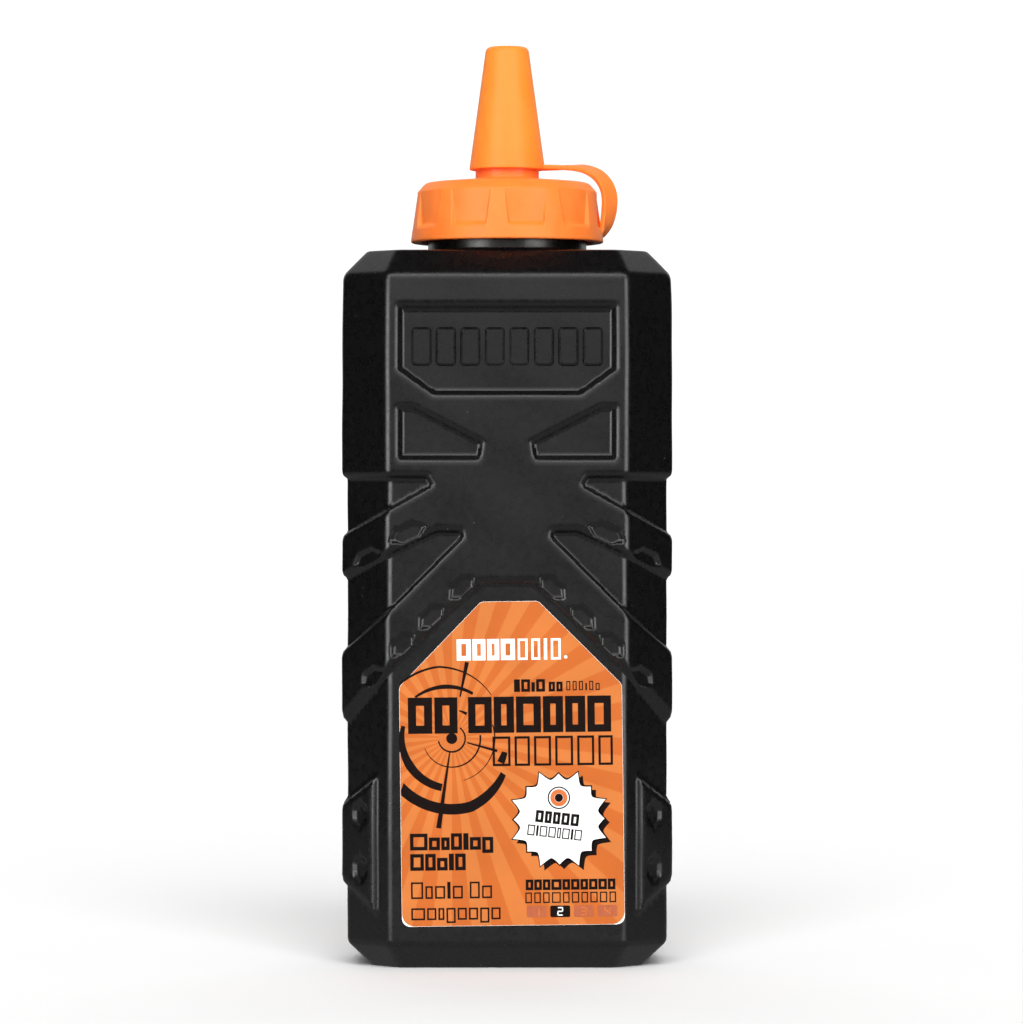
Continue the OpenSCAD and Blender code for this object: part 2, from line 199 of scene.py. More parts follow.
def grid_object(name: str, grid: np.ndarray, wrap_rows: bool = False, start_pole: bool = False,
                end_pole: bool = False, smooth: bool = True,
                level: np.ndarray | None = None) -> bpy.types.Object:
    """Closed surface from a grid whose columns go round and whose rows go along.

    Each cell is a quad between neighbouring rows and columns, and each pole is a fan to the row's mean point.
    Where a level is given, each quad is cut in two between the corners whose levels are closer.

    Args:
        name: Object name.
        grid: Points as rows, columns, xyz. Columns go anticlockwise seen from the way the rows go.
        wrap_rows: Whether the last row joins the first.
        start_pole: Whether the first row is closed.
        end_pole: Whether the last row is closed.
        smooth: Whether faces are shaded smooth.
        level: Level of each grid point, such as its depth below a flat wall.

    Returns:
        The linked object.
    """
    rows, cols, _ = grid.shape
    index = np.arange(rows * cols).reshape(rows, cols)
    after = np.roll(index, -1, axis=1)
    if wrap_rows:
        up, up_after = np.roll(index, -1, axis=0), np.roll(after, -1, axis=0)
        quads = np.stack([index, after, up_after, up], -1).reshape(-1, 4)
    else:
        quads = np.stack([index[:-1], after[:-1], after[1:], index[1:]], -1).reshape(-1, 4)
    points = grid.reshape(-1, 3)
    if level is not None:
        p, q, r, t = quads.T
        height = level.ravel()
        rising = np.abs(height[p] - height[r]) < np.abs(height[q] - height[t])
        quads = np.concatenate([np.stack([p, q, np.where(rising, r, t)], -1),
                                np.stack([r, t, np.where(rising, p, q)], -1)])
    faces = [quads]
    if start_pole:
        points = np.vstack([points, grid[0].mean(0)])
        faces.append(np.column_stack([after[0], index[0], np.full(cols, len(points) - 1)]))
    if end_pole:
        points = np.vstack([points, grid[-1].mean(0)])
        faces.append(np.column_stack([index[-1], after[-1], np.full(cols, len(points) - 1)]))
    return mesh_object(name, points, faces, smooth)


def grid_normals(grid: np.ndarray) -> np.ndarray:
    """Normal at each grid point, from the cross product of the steps along its column and its row.

    Args:
        grid: Points as rows, columns, xyz, with columns going round.

    Returns:
        Unit normals in the grid's shape.
    """
    across = np.roll(grid, -1, axis=1) - np.roll(grid, 1, axis=1)
    up = np.gradient(grid, axis=0)
    out = np.cross(across, up)
    return out / np.maximum(np.linalg.norm(out, axis=-1, keepdims=True), TINY)


def polygon_distance(x: np.ndarray, z: np.ndarray, outline: np.ndarray) -> np.ndarray:
    """Signed distance to a closed outline: the least distance to its edges, negative inside.

    Args:
        x: First coordinate of each point.
        z: Second coordinate of each point.
        outline: Corners, one row each.

    Returns:
        One distance for each point.
    """
    best = np.full(x.shape, np.inf)
    inside = np.zeros(x.shape, bool)
    for (ax, az), (bx, bz) in zip(outline, np.roll(outline, -1, axis=0)):
        ex, ez, px, pz = bx - ax, bz - az, x - ax, z - az
        t = np.clip((px * ex + pz * ez) / (ex * ex + ez * ez), 0, 1)
        best = np.minimum(best, (px - ex * t) ** 2 + (pz - ez * t) ** 2)
        crosses = ((az > z) != (bz > z)) & (x < ax + (z - az) / (ez or TINY) * ex)
        inside ^= crosses
    return np.where(inside, -1, 1) * np.sqrt(best)


def moulded_step(into: np.ndarray, places: tuple[float, ...], slopes: tuple[float, ...]) -> np.ndarray:
    """Step from 0 to 1 whose slope runs straight between the given slopes, then is summed and scaled.

    Args:
        into: Distance past the outline, positive inside it.
        places: Distances at which the slope is given, rising.
        slopes: Slope at each of them.

    Returns:
        Height of the step at each point.
    """
    samples = 500
    fine = np.linspace(places[0], places[-1], samples)
    height = np.cumsum(np.interp(fine, places, slopes))
    return np.interp(into, fine, (height - height[0]) / (height[-1] - height[0]))


def smooth_step(low: float, high: float, value: np.ndarray) -> np.ndarray:
    """Cubic step 3t^2 - 2t^3, with t going from 0 at low to 1 at high."""
    t = np.clip((value - low) / (high - low), 0, 1)
    return t * t * (3 - 2 * t)


def revolve(profile: np.ndarray, columns: np.ndarray) -> np.ndarray:
    """Surface of revolution: each profile point r, z turned to every column angle.

    Args:
        profile: Rows of radius and height.
        columns: Angles in radians, rising.

    Returns:
        Grid of points.
    """
    r, z = profile[:, 0:1], profile[:, 1:2]
    tall = np.broadcast_to(z, (len(r), len(columns)))
    return np.stack([r * np.cos(columns), r * np.sin(columns), tall], -1)


def screw_thread(name: str, section: np.ndarray, root: float, angle: float, start: float,
                 outward: int) -> bpy.types.Object:
    """A section carried up a helix, thinning to nothing at both ends.

    Section points on the crest's side of the root radius are scaled by the ease, a cubic step over the
    first and the last share of the run. The other points stay inside the wall.

    Args:
        name: Object name.
        section: Distance from the root radius and height of each section point.
        root: Radius of the wall that carries the thread.
        angle: Angle at which it starts, in radians.
        start: Height at which it starts.
        outward: 1 if the crest points away from the axis, -1 if it points towards it.

    Returns:
        The object.
    """
    t = np.linspace(0, 1, THREAD_STEPS)
    turn = angle + t * THREAD_TURNS * 2 * math.pi
    rise = start + t * THREAD_TURNS * PITCH
    ease = smooth_step(0, THREAD_EASE, t) * smooth_step(0, THREAD_EASE, 1 - t)
    out, up = section[None, :, 0], section[None, :, 1]
    r = root + np.where(out * outward > 0, out * ease[:, None], out)
    grid = np.stack([r * np.cos(turn)[:, None], r * np.sin(turn)[:, None], rise[:, None] + up], -1)
    return grid_object(name, grid[:, ::-1], start_pole=True, end_pole=True)


# ---------------------------------------------------------------- materials


class Wiring:
    """Adds nodes to one tree and joins them."""

    def __init__(self, tree: bpy.types.NodeTree) -> None:
        """Keeps the tree that nodes go into."""
        self.tree = tree

    def feed(self, node: bpy.types.Node, inputs: dict[str | int, Signal]) -> None:
        """Joins sockets to a node's inputs, or sets them to plain values.

        Args:
            node: Node that is fed.
            inputs: Socket or value for each input, by name or number.
        """
        for key, value in inputs.items():
            if isinstance(value, bpy.types.NodeSocket):
                self.tree.links.new(value, node.inputs[key])
            else:
                node.inputs[key].default_value = value

    def node(self, kind: str, inputs: dict[str | int, Signal] | None = None,
             **props: object) -> bpy.types.Node:
        """Adds a node, sets its properties and joins or sets its inputs.

        Args:
            kind: Blender's node type.
            inputs: Socket or value for each input, by name or number.
            **props: Properties of the node.

        Returns:
            The new node.
        """
        made = self.tree.nodes.new(kind)
        for key, value in props.items():
            setattr(made, key, value)
        self.feed(made, inputs or {})
        return made

    def math(self, operation: str, *values: Signal) -> bpy.types.NodeSocket:
        """One maths node on sockets or numbers, returning its result."""
        return self.node("ShaderNodeMath", dict(enumerate(values)), operation=operation).outputs[0]

    def mix(self, factor: Signal, first: Signal, second: Signal) -> bpy.types.NodeSocket:
        """Mixes two colours by a factor, returning the colour."""
        return self.node("ShaderNodeMix", {0: factor, 6: first, 7: second}, data_type="RGBA").outputs[2]

    def span(self, value: Signal, low: float, high: float, start: float = 0.0,
             end: float = 1.0) -> bpy.types.NodeSocket:
        """Maps low..high to start..end, clamped."""
        return self.node("ShaderNodeMapRange", {0: value, 1: low, 2: high, 3: start, 4: end}).outputs[0]


def blank_material(name: str) -> tuple[bpy.types.Material, Wiring, bpy.types.Node]:
    """Starts a material.

    Args:
        name: Material name.

    Returns:
        The material, the wiring of its tree and its Principled shader.
    """
    made = bpy.data.materials.new(name)
    made.use_nodes = True
    return made, Wiring(made.node_tree), made.node_tree.nodes["Principled BSDF"]


def mottle_group() -> bpy.types.NodeTree:
    """Shared effect: moulded skin seen at three scales, from grain to slow waves.

    Height adds a fine, a middle and a slow noise. Tone is the middle noise by itself. Specks are the few
    cells of a fine cell pattern whose random value is near 1, within a small distance of the cell's middle.

    Returns:
        The node group.
    """
    tree = bpy.data.node_groups.get("moulded_skin")
    if tree:
        return tree
    tree = bpy.data.node_groups.new("moulded_skin", "ShaderNodeTree")
    for name in ("Vector", "Grain", "Patch", "Wave", "Specks"):
        kind = "NodeSocketVector" if name == "Vector" else "NodeSocketFloat"
        tree.interface.new_socket(name=name, in_out="INPUT", socket_type=kind)
    for name in ("Height", "Tone", "Speck"):
        tree.interface.new_socket(name=name, in_out="OUTPUT", socket_type="NodeSocketFloat")
    w = Wiring(tree)
    given = w.node("NodeGroupInput").outputs
    place = given["Vector"]
    fine = w.node("ShaderNodeTexNoise", {"Vector": place, "Scale": given["Grain"], "Detail": 3.0})
    patch = w.node("ShaderNodeTexNoise", {"Vector": place, "Scale": given["Patch"], "Detail": 2.0,
                                          "Distortion": 0.6})
    wave = w.node("ShaderNodeTexNoise", {"Vector": place, "Scale": given["Wave"], "Detail": 1.0})
    cells = w.node("ShaderNodeTexVoronoi", {"Vector": place, "Scale": given["Specks"]})
    fine_share, patch_share, wave_share = 0.3, 0.7, 6.0
    slower = w.math("ADD", w.math("MULTIPLY", patch.outputs[0], patch_share),
                    w.math("MULTIPLY", wave.outputs[0], wave_share))
    height = w.math("ADD", w.math("MULTIPLY", fine.outputs[0], fine_share), slower)
    rarity, full_radius, faded_radius = 0.985, 0.07, 0.13
    chance = w.node("ShaderNodeSeparateColor", {0: cells.outputs["Color"]}).outputs[0]
    near = w.span(cells.outputs["Distance"], full_radius, faded_radius, 1, 0)
    speck = w.math("MULTIPLY", w.math("GREATER_THAN", chance, rarity), near)
    w.node("NodeGroupOutput", {"Height": height, "Tone": patch.outputs[0], "Speck": speck})
    return tree


@dataclass(frozen=True)
class Plastic:
    """Moulded plastic, with colour, sheen, translucency and skin detail."""

    name: str
    colour: Colour
    shade: Colour
    roughness: float
    spread: float = 0.06
    grain: float = 2600.0
    patch: float = 520.0
    wave: float = 42.0
    bump: float = 0.00003
    specks: float = 700.0
    speck_colour: Colour = (0.25, 0.2, 0.17)
    speck_share: float = 0.5
    translucency: float = 0.0
    specular: float = 0.5
    glow_depth: float = 0.0015
    glow_reach: Colour = (1.0, 0.45, 0.2)

    def build(self) -> bpy.types.Material:
        """Makes the material.

        Returns:
            The material, reading Object coordinates.
        """
        made, w, shader = blank_material(self.name)
        place = w.node("ShaderNodeTexCoord").outputs["Object"]
        skin = w.node("ShaderNodeGroup", {"Vector": place, "Grain": self.grain, "Patch": self.patch,
                                          "Wave": self.wave, "Specks": self.specks}, node_tree=mottle_group())
        tone = skin.outputs["Tone"]
        body = w.mix(w.span(tone, *NOISE), (*self.shade, 1), (*self.colour, 1))
        speck = w.math("MULTIPLY", skin.outputs["Speck"], self.speck_share)
        bump = w.node("ShaderNodeBump", {"Height": skin.outputs["Height"], "Strength": 1.0,
                                         "Distance": self.bump})
        w.feed(shader, {
            "Base Color": w.mix(speck, body, (*self.speck_colour, 1)),
            "Roughness": w.span(tone, *NOISE, self.roughness - self.spread, self.roughness + self.spread),
            "Normal": bump.outputs[0],
            "Subsurface Weight": self.translucency,
            "Subsurface Scale": self.glow_depth,
            "Subsurface Radius": self.glow_reach,
            "Specular IOR Level": self.specular,
        })
        return made


@dataclass(frozen=True)
class PrintedPaper:
    """Coated label stock with a two-tone sunburst printed on it."""

    name: str
    light: Colour
    dark: Colour
    centre: tuple[float, float]
    rays: int

    def build(self) -> bpy.types.Material:
        """Makes the material. The ray is the sign of the sine of the angle about the centre, times the rays.

        Returns:
            The material, reading Object coordinates.
        """
        made, w, shader = blank_material(self.name)
        place = w.node("ShaderNodeTexCoord").outputs["Object"]
        axes = w.node("ShaderNodeSeparateXYZ", {0: place}).outputs
        right = w.math("SUBTRACT", axes[0], self.centre[0] * MM)
        up = w.math("SUBTRACT", axes[2], self.centre[1] * MM)
        wave = w.math("SINE", w.math("MULTIPLY", w.math("ARCTAN2", up, right), float(self.rays)))
        fine = w.node("ShaderNodeTexNoise", {"Vector": place, "Scale": 1400.0, "Detail": 2.0}).outputs[0]
        slow = w.node("ShaderNodeTexNoise", {"Vector": place, "Scale": 90.0, "Detail": 2.0}).outputs[0]
        fuzz, soft_edge = 0.25, 0.12
        rough_edge = w.math("MULTIPLY", w.math("SUBTRACT", fine, 0.5), fuzz)
        ray = w.span(w.math("ADD", wave, rough_edge), -soft_edge, soft_edge)
        colour = w.mix(ray, (*self.dark, 1), (*self.light, 1))
        tint = w.span(slow, *NOISE, 0.94, 1.05)
        grey = w.node("ShaderNodeCombineColor", {0: tint, 1: tint, 2: tint}).outputs[0]
        shaded = w.node("ShaderNodeMix", {0: 1.0, 6: colour, 7: grey}, data_type="RGBA",
                        blend_type="MULTIPLY")
        bump = w.node("ShaderNodeBump", {"Height": w.math("ADD", fine, slow), "Strength": 0.6,
                                         "Distance": 0.00002})
        w.feed(shader, {
            "Base Color": shaded.outputs[2],
            "Roughness": w.span(fine, *NOISE, 0.42, 0.52),
            "Normal": bump.outputs[0],
            "Specular IOR Level": 0.35,
        })
        return made


def ink(name: str, colour: Colour, shade: Colour, speck: Colour, specular: float = 0.5) -> Plastic:
    """Printing ink: the same finish as a plastic, with a very fine and shallow skin."""
    return Plastic(name, colour, shade, 0.45, patch=900.0, bump=0.000004, speck_colour=speck,
                   specular=specular)


class Tone(Enum):
    """Finishes used on the object."""

    BOTTLE = Plastic("black_bottle", (0.0036, 0.0034, 0.0038), (0.0028, 0.0026, 0.0030), 0.29, spread=0.04,
                     patch=620.0, bump=0.000014, specular=0.85, speck_share=0.35)
    CLOSURE = Plastic("orange_closure", (1.0, 0.222, 0.029), (0.96, 0.2, 0.024), 0.42, patch=260.0,
                      bump=0.000012, specks=900.0, speck_colour=(1.0, 0.5, 0.25), translucency=0.25)
    STRAP = Plastic("orange_strap", (1.0, 0.23, 0.028), (0.96, 0.21, 0.023), 0.45, patch=300.0,
                    bump=0.000012, specks=900.0, speck_colour=(1.0, 0.5, 0.25), translucency=0.25)
    CAP = Plastic("orange_cap", (1.0, 0.265, 0.026), (0.98, 0.245, 0.021), 0.42, patch=240.0,
                  bump=0.000012, specks=900.0, speck_colour=(1.0, 0.5, 0.25), translucency=0.3)
    POWDER = Plastic("orange_powder", (0.95, 0.2, 0.03), (0.8, 0.14, 0.02), 0.95, grain=4200.0, patch=900.0,
                     wave=120.0, bump=0.0002, speck_colour=(1.0, 0.4, 0.15), specular=0.1)
    FOIL = Plastic("seal_foil", (0.75, 0.75, 0.76), (0.66, 0.66, 0.67), 0.3, patch=400.0, bump=0.00004,
                   speck_colour=(0.9, 0.9, 0.9), specular=1.0)
    FOAM = Plastic("liner_foam", (0.82, 0.82, 0.78), (0.72, 0.72, 0.68), 0.8, grain=3600.0, patch=1500.0,
                   bump=0.00006, speck_colour=(0.5, 0.5, 0.48), specular=0.2)
    INK_BLACK = ink("ink_black", (0.0085, 0.0045, 0.004), (0.0065, 0.0035, 0.003), (0.05, 0.03, 0.02), 0.12)
    INK_WHITE = ink("ink_white", (0.93, 0.93, 0.92), (0.88, 0.88, 0.87), (0.8, 0.78, 0.75))
    INK_RUST = ink("ink_rust", (0.42, 0.1, 0.035), (0.38, 0.09, 0.03), (0.6, 0.2, 0.08))
    INK_ORANGE = ink("ink_orange", (0.62, 0.15, 0.027), (0.58, 0.135, 0.022), (0.9, 0.3, 0.1))
    LABEL = PrintedPaper("label_print", (0.56, 0.162, 0.03), (0.505, 0.115, 0.013), TARGET, 30)


class Paintbox:
    """Makes each finish once and hands it out."""

    def __init__(self) -> None:
        """Starts with nothing made."""
        self.made: dict[Tone, bpy.types.Material] = {}

    def coat(self, thing: bpy.types.Object, tone: Tone) -> None:
        """Gives an object one finish in place of whatever it has.

        Args:
            thing: Object that is coated.
            tone: Its finish.
        """
        if tone not in self.made:
            self.made[tone] = tone.value.build()
        thing.data.materials.clear()
        thing.data.materials.append(self.made[tone])


# ---------------------------------------------------------------- bottle


@dataclass
class OctagonFamily:
    """Rounded octagons of every inset, as A + inset * B, where B runs inward along the mitres."""

    width: float
    depth: float
    cut: float
    radius: float
    front: np.ndarray
    corner: int
    side: np.ndarray
    arc: int
    outer: np.ndarray = field(init=False)
    inward: np.ndarray = field(init=False)
    facing: np.ndarray = field(init=False)

    def __post_init__(self) -> None:
        """Works out A, B and the outward normals. Edges are sampled at given shares, and corners are arcs."""
        a, b, c = self.width / 2, self.depth / 2, self.cut
        v = np.array([[-a + c, -b], [a - c, -b], [a, -b + c], [a, b - c],
                      [a - c, b], [-a + c, b], [-a, b - c], [-a, -b + c]])
        shares = [self.front, None, self.side, None, self.front, None, self.side, None]
        even = (np.arange(self.corner) + 1) / (self.corner + 1)
        nxt = np.roll(v, -1, axis=0)
        tangent = (nxt - v) / np.linalg.norm(nxt - v, axis=1, keepdims=True)
        normal = np.stack([tangent[:, 1], -tangent[:, 0]], -1)
        before = np.roll(normal, 1, axis=0)
        mitre = -(normal + before) / (1 + (normal * before).sum(1, keepdims=True))
        reach = self.radius * math.tan(math.pi / 8)
        outer, inward, facing = [], [], []
        for k in range(8):
            s = even if shares[k] is None else shares[k]
            start, end = v[k] + tangent[k] * reach, nxt[k] - tangent[k] * reach
            m0, m1 = mitre[k], mitre[(k + 1) % 8]
            outer.append(start + (end - start) * s[:, None])
            inward.append(m0 + (m1 - m0) * s[:, None])
            facing.append(np.repeat(normal[k][None], len(s), 0))
            centre = nxt[k] + m1 * self.radius
            n0 = normal[k]
            turn = np.linspace(0, math.pi / 4, self.arc + 2)
            away = np.stack([n0[0] * np.cos(turn) - n0[1] * np.sin(turn),
                             n0[0] * np.sin(turn) + n0[1] * np.cos(turn)], -1)
            outer.append(centre + self.radius * away)
            facing.append(away)
            inward.append(np.repeat(m1[None], len(turn), 0))
        self.outer, self.inward, self.facing = np.vstack(outer), np.vstack(inward), np.vstack(facing)


@dataclass(frozen=True)
class ReliefPattern:
    """The moulded pattern, as outlines in x and z on one side of the middle, in millimetres."""

    depth: float = 1.2
    dent: float = 0.6
    wall_places: tuple[float, ...] = (-1.7, -0.5, -0.38, 0.22, 0.34, 0.46)
    wall_slopes: tuple[float, ...] = (0.0, 0.5, 1.3, 1.3, 0.45, 0.0)
    wall_folds: tuple[float, float] = (-0.43, 0.36)
    dent_places: tuple[float, ...] = (-0.7, -0.22, 0.15, 0.5)
    dent_slopes: tuple[float, ...] = (0.0, 0.75, 0.75, 0.0)
    dent_folds: tuple[float, ...] = (0.0,)
    lean: float = 0.3
    lean_from: float = 138.0
    lean_over: float = 12.0

    def recesses(self) -> list[np.ndarray]:
        """Outlines that are moulded in by the full depth, through the middle of their sloping walls.

        Returns:
            One array of corners for each outline.
        """
        return [
            np.array([[-30, 143.2], [-30, 124.9], [15.9, 124.9], [23.2, 130.1], [23.2, 143.2]]),
            np.array([[23.2, 121.3], [20.6, 121.3], [5.9, 113.8], [6.4, 110.9], [23.2, 110.9]]),
            np.array([[39, 106.5], [17.6, 106.5], [16.7, 104.9], [39, 92.7]]),
            np.array([[39, 83.3], [15.4, 94.7], [10.2, 94.7], [10.0, 93.6], [24.8, 78.8], [39, 66.6]]),
            np.array([[-30, 83.6], [5.9, 83.6], [25.2, 65.4], [36, 53.6], [39, 51.0], [39, 34.0], [36, 36.1],
                      [28.8, 41.7], [28.8, 12.1], [36, 18.0], [39, 20.2], [39, -20], [-30, -20]]),
        ]

    def dents(self) -> list[np.ndarray]:
        """Small six-sided dents: a flattened hexagon turned and moved to each place.

        Returns:
            One array of corners for each dent.
        """
        places = [(21.6, 94.3, 7.8, 3.3, -24), (9.8, 82.6, 6.6, 3.2, -43), (16.4, 76.2, 6.6, 3.2, -43),
                  (22.7, 70.1, 6.2, 3.2, -43), (30.3, 88.8, 6.2, 3.2, -24), (29.2, 63.2, 5.2, 3.0, -36),
                  (32.0, 33.3, 5.4, 2.6, 90), (32.0, 21.4, 5.4, 2.6, 90)]
        unit = np.array([[-0.5, 0], [-0.25, 0.5], [0.25, 0.5], [0.5, 0], [0.25, -0.5], [-0.25, -0.5]])
        out = []
        for x, z, length, height, angle in places:
            t = math.radians(angle)
            shape = unit * [length, height]
            turned = shape @ np.array([[math.cos(t), math.sin(t)], [-math.sin(t), math.cos(t)]])
            out.append(turned + [x, z])
        return out

    def at(self, x: np.ndarray, z: np.ndarray) -> np.ndarray:
        """Depth below the outer skin: the deepest of every outline's moulded step of its signed distance.

        A slow ripple of the moulding is added, and the face leans back a little towards the shoulder.

        Args:
            x: Place across, negative to the left.
            z: Height.

        Returns:
            Depth at each point.
        """
        ripple = 0.07 * np.sin(x * 0.23 + 1.3) * np.sin(z * 0.13) + 0.03 * np.sin(z * 0.37 + x * 0.21)
        lean = self.lean * np.clip((z - self.lean_from) / self.lean_over, 0, 1) ** 2
        x = np.abs(x)
        sunk = np.zeros(x.shape)
        for outline in self.recesses():
            into = -polygon_distance(x, z, outline)
            sunk = np.maximum(sunk, self.depth * moulded_step(into, self.wall_places, self.wall_slopes))
        for outline in self.dents():
            into = -polygon_distance(x, z, outline)
            sunk = np.maximum(sunk, self.dent * moulded_step(into, self.dent_places, self.dent_slopes))
        return sunk + ripple + lean

    def snapped(self, x: np.ndarray, z: np.ndarray, room_x: np.ndarray,
                room_z: np.ndarray) -> tuple[np.ndarray, np.ndarray]:
        """Shifts grid points along one axis onto the nearest fold in reach, so that folds stay crisp.

        Args:
            x: Place across, negative to the left.
            z: Height.
            room_x: Furthest shift across.
            room_z: Furthest shift up or down.

        Returns:
            The shifts in x and in z.
        """
        step, steep, out_of_reach = 0.02, 0.5, 1e-9
        best, move_x, move_z = np.ones(x.shape), np.zeros(x.shape), np.zeros(x.shape)
        lines = [(o, self.wall_folds) for o in self.recesses()] + [(o, self.dent_folds) for o in self.dents()]
        for outline, folds in lines:
            here = -polygon_distance(np.abs(x), z, outline)
            grow_x = (-polygon_distance(np.abs(x) + step, z, outline) - here) / step
            grow_z = (-polygon_distance(np.abs(x), z + step, outline) - here) / step
            upward = np.abs(grow_z) >= steep
            rate = np.where(upward, grow_z, grow_x)
            rate = np.where(np.abs(rate) < steep, out_of_reach, rate)
            room = np.where(upward, room_z, room_x)
            for fold in folds:
                move = (fold - here) / rate
                reach = np.abs(move) / room
                take = reach < best
                best = np.where(take, reach, best)
                move_x = np.where(take, np.where(upward, 0, move), move_x)
                move_z = np.where(take, np.where(upward, move, 0), move_z)
        return move_x * np.sign(x), move_z


@dataclass
class Bottle:
    """The blow-moulded bottle: skin with its relief, neck, thread and raised nameplate blocks."""

    paint: Paintbox
    pattern: ReliefPattern = field(default_factory=ReliefPattern)
    height: float = 156.0
    neck_r: float = 17.5
    neck_top: float = 169.2
    flat_r: float = 18.5
    bore_r: float = 15.9
    bore_foot: float = 153.7
    panel_rise: float = 1.0
    pattern_foot: float = 8.2
    pattern_top: float = 146.5
    fade_from: float = 148.0
    fade_to: float = 155.0
    across_share: float = 0.6
    body: str = "bottle_body"

    def columns(self) -> OctagonFamily:
        """Octagon columns, close together where the pattern is and wider where it is plain.

        Returns:
            The octagon family.
        """
        half = np.concatenate([np.linspace(4.6, 22.0, 32), [22.65, 22.98, 23.56, 23.72, 24.3, 25.0]])
        x = np.concatenate([-half[::-1], np.linspace(-3.2, 3.2, 5), half])
        side = np.array([-13, -10, -6, -2.5, -0.9, -0.45, -0.2, 0, 0.2, 0.45, 0.9, 2.5, 6, 10, 13.0])
        front_run, side_run = 25.2, 13.9
        return OctagonFamily(width=72, depth=50, cut=10, radius=2.7, front=(x + front_run) / (2 * front_run),
                             corner=24, side=(side + side_run) / (2 * side_run), arc=4)

    def levels(self) -> tuple[np.ndarray, np.ndarray]:
        """Rows up the outside: inset and height, from the raised base panel to the flat of the shoulder.

        Rows are closer over the pattern than over the plain foot, and its level folds have their own rows.

        Returns:
            Inset and height of each row.
        """
        low = fillet_path([(14, 1.0), (9.2, 1.0), (8.3, 0), (5.3, 0), (0, 5.3), (0, 6.4)],
                          [0, 0.7, 0.6, 0.9, 2.2, 0], arc=4, step=1.6)
        high = fillet_path([(0, 147.8), (0, 150.5), (5.5, 156), (6.3, 156)], [0, 3.0, 1.4, 0],
                           arc=5, step=1.2)
        plain = np.arange(7.4, 60.3, 1.15)
        tops, floors = np.array([143.2, 106.5, 94.7, 83.6]), np.array([124.9, 110.9])
        offsets = np.array([-0.46, -0.22, 0.36, 0.5])
        folds = np.concatenate([(tops[:, None] + offsets).ravel(), (floors[:, None] - offsets).ravel()])
        zones = ((60.8, 66.0, 0.6), (66.2, 98.0, 0.5), (98.4, 110.0, 0.75), (110.5, 123.3, 0.5),
                 (123.6, 132.0, 0.5), (132.4, 147.4, 0.8))
        busy = np.concatenate([np.arange(*zone) for zone in zones])
        clear = 0.24
        busy = busy[np.abs(busy[:, None] - folds).min(1) > clear]
        busy = np.sort(np.concatenate([busy, folds]))
        z = np.concatenate([low[:, 1], plain, busy, high[:, 1]])
        inset = np.concatenate([low[:, 0], np.zeros(len(plain) + len(busy)), high[:, 0]])
        return inset, z

    def walls(self, family: OctagonFamily) -> tuple[np.ndarray, np.ndarray, np.ndarray, np.ndarray]:
        """Outside rows, from the base panel to the edge of the shoulder's flat.

        Points first slide along their wall, or up and down it, onto the pattern's folds. Each then goes to
        A + (inset + depth) * B, where the depth is the pattern's, less the ridge of the parting line.

        Args:
            family: The octagon columns.

        Returns:
            The points, their depths, which rows carry the pattern, and the exact normals of those rows.
        """
        inset, z = self.levels()
        flat = family.outer[None] + inset[:, None, None] * family.inward[None]
        tall = np.broadcast_to(z[:, None], flat.shape[:2])
        keep = (z > self.pattern_foot) & (z < self.pattern_top)
        along = np.stack([-family.facing[:, 1], family.facing[:, 0]], -1)
        free = np.abs(along[:, 0]) > self.across_share
        shift_x, shift_z = self.shifts(flat[..., 0], tall, free)
        slide = np.where(keep[:, None], shift_x, 0) / np.where(free, along[:, 0], 1)
        flat = flat + slide[..., None] * along[None]
        tall = tall + np.where(keep[:, None], shift_z, 0)
        across, deep = flat[..., 0], flat[..., 1]
        fade = 1 - smooth_step(self.fade_from, self.fade_to, tall)
        sunk = self.pattern.at(across, tall) * fade - self.seam(across, deep, tall)
        moved = flat + sunk[..., None] * family.inward[None]
        exact = self.wall_normals(family.facing, across[keep], deep[keep], tall[keep])
        return np.dstack([moved, tall]), sunk, keep, exact

    def base_panel(self, rim: np.ndarray) -> np.ndarray:
        """Rows of the raised base panel, each the first wall row drawn in towards the axis.

        Args:
            rim: The first wall row.

        Returns:
            The rows.
        """
        level = np.full(len(rim), self.panel_rise)
        return np.stack([np.column_stack([rim[:, :2] * share, level]) for share in (0.3, 0.7)])

    def neck(self, edge: np.ndarray) -> np.ndarray:
        """Rows over the shoulder's flat, up the neck and down its bore.

        Rows on the shoulder go in straight lines from the octagon to the neck's circle.

        Args:
            edge: The last wall row.

        Returns:
            The rows.
        """
        angle = np.arctan2(edge[:, 1], edge[:, 0])
        ring = np.stack([np.cos(angle), np.sin(angle)], -1)

        def circle(radius: float, level: float) -> np.ndarray:
            """A level circle whose points keep the octagon's own angles."""
            return np.column_stack([ring * radius, np.full(len(ring), level)])

        inner = circle(self.flat_r, self.height)
        shoulder = [edge + (inner - edge) * share for share in (0.35, 0.7, 1.0)]
        profile = fillet_path([(self.flat_r, self.height), (self.neck_r, self.height),
                               (self.neck_r, self.neck_top), (self.bore_r, self.neck_top),
                               (self.bore_r, self.bore_foot)], [0, 0.8, 0.35, 0.35, 0], arc=4, step=6)
        return np.stack(shoulder + [circle(r, level) for r, level in profile[1:]])

    def inside(self, family: OctagonFamily) -> np.ndarray:
        """Rows down the inside, from under the bore to the floor, each A + inset * B.

        The last one is the floor's outer row drawn in towards the axis.

        Args:
            family: The octagon columns.

        Returns:
            The rows.
        """
        steps = ((9.5, 153.7), (6.6, 153.6), (2.3, 149.4), (2.3, 60.0), (2.3, 6.9), (6.9, 2.2), (14, 2.1))
        floor_share = 0.4
        rings = [(family.outer + inset * family.inward, level) for inset, level in steps]
        rings.append((rings[-1][0] * floor_share, steps[-1][1]))
        return np.stack([np.column_stack([ring, np.full(len(ring), level)]) for ring, level in rings])

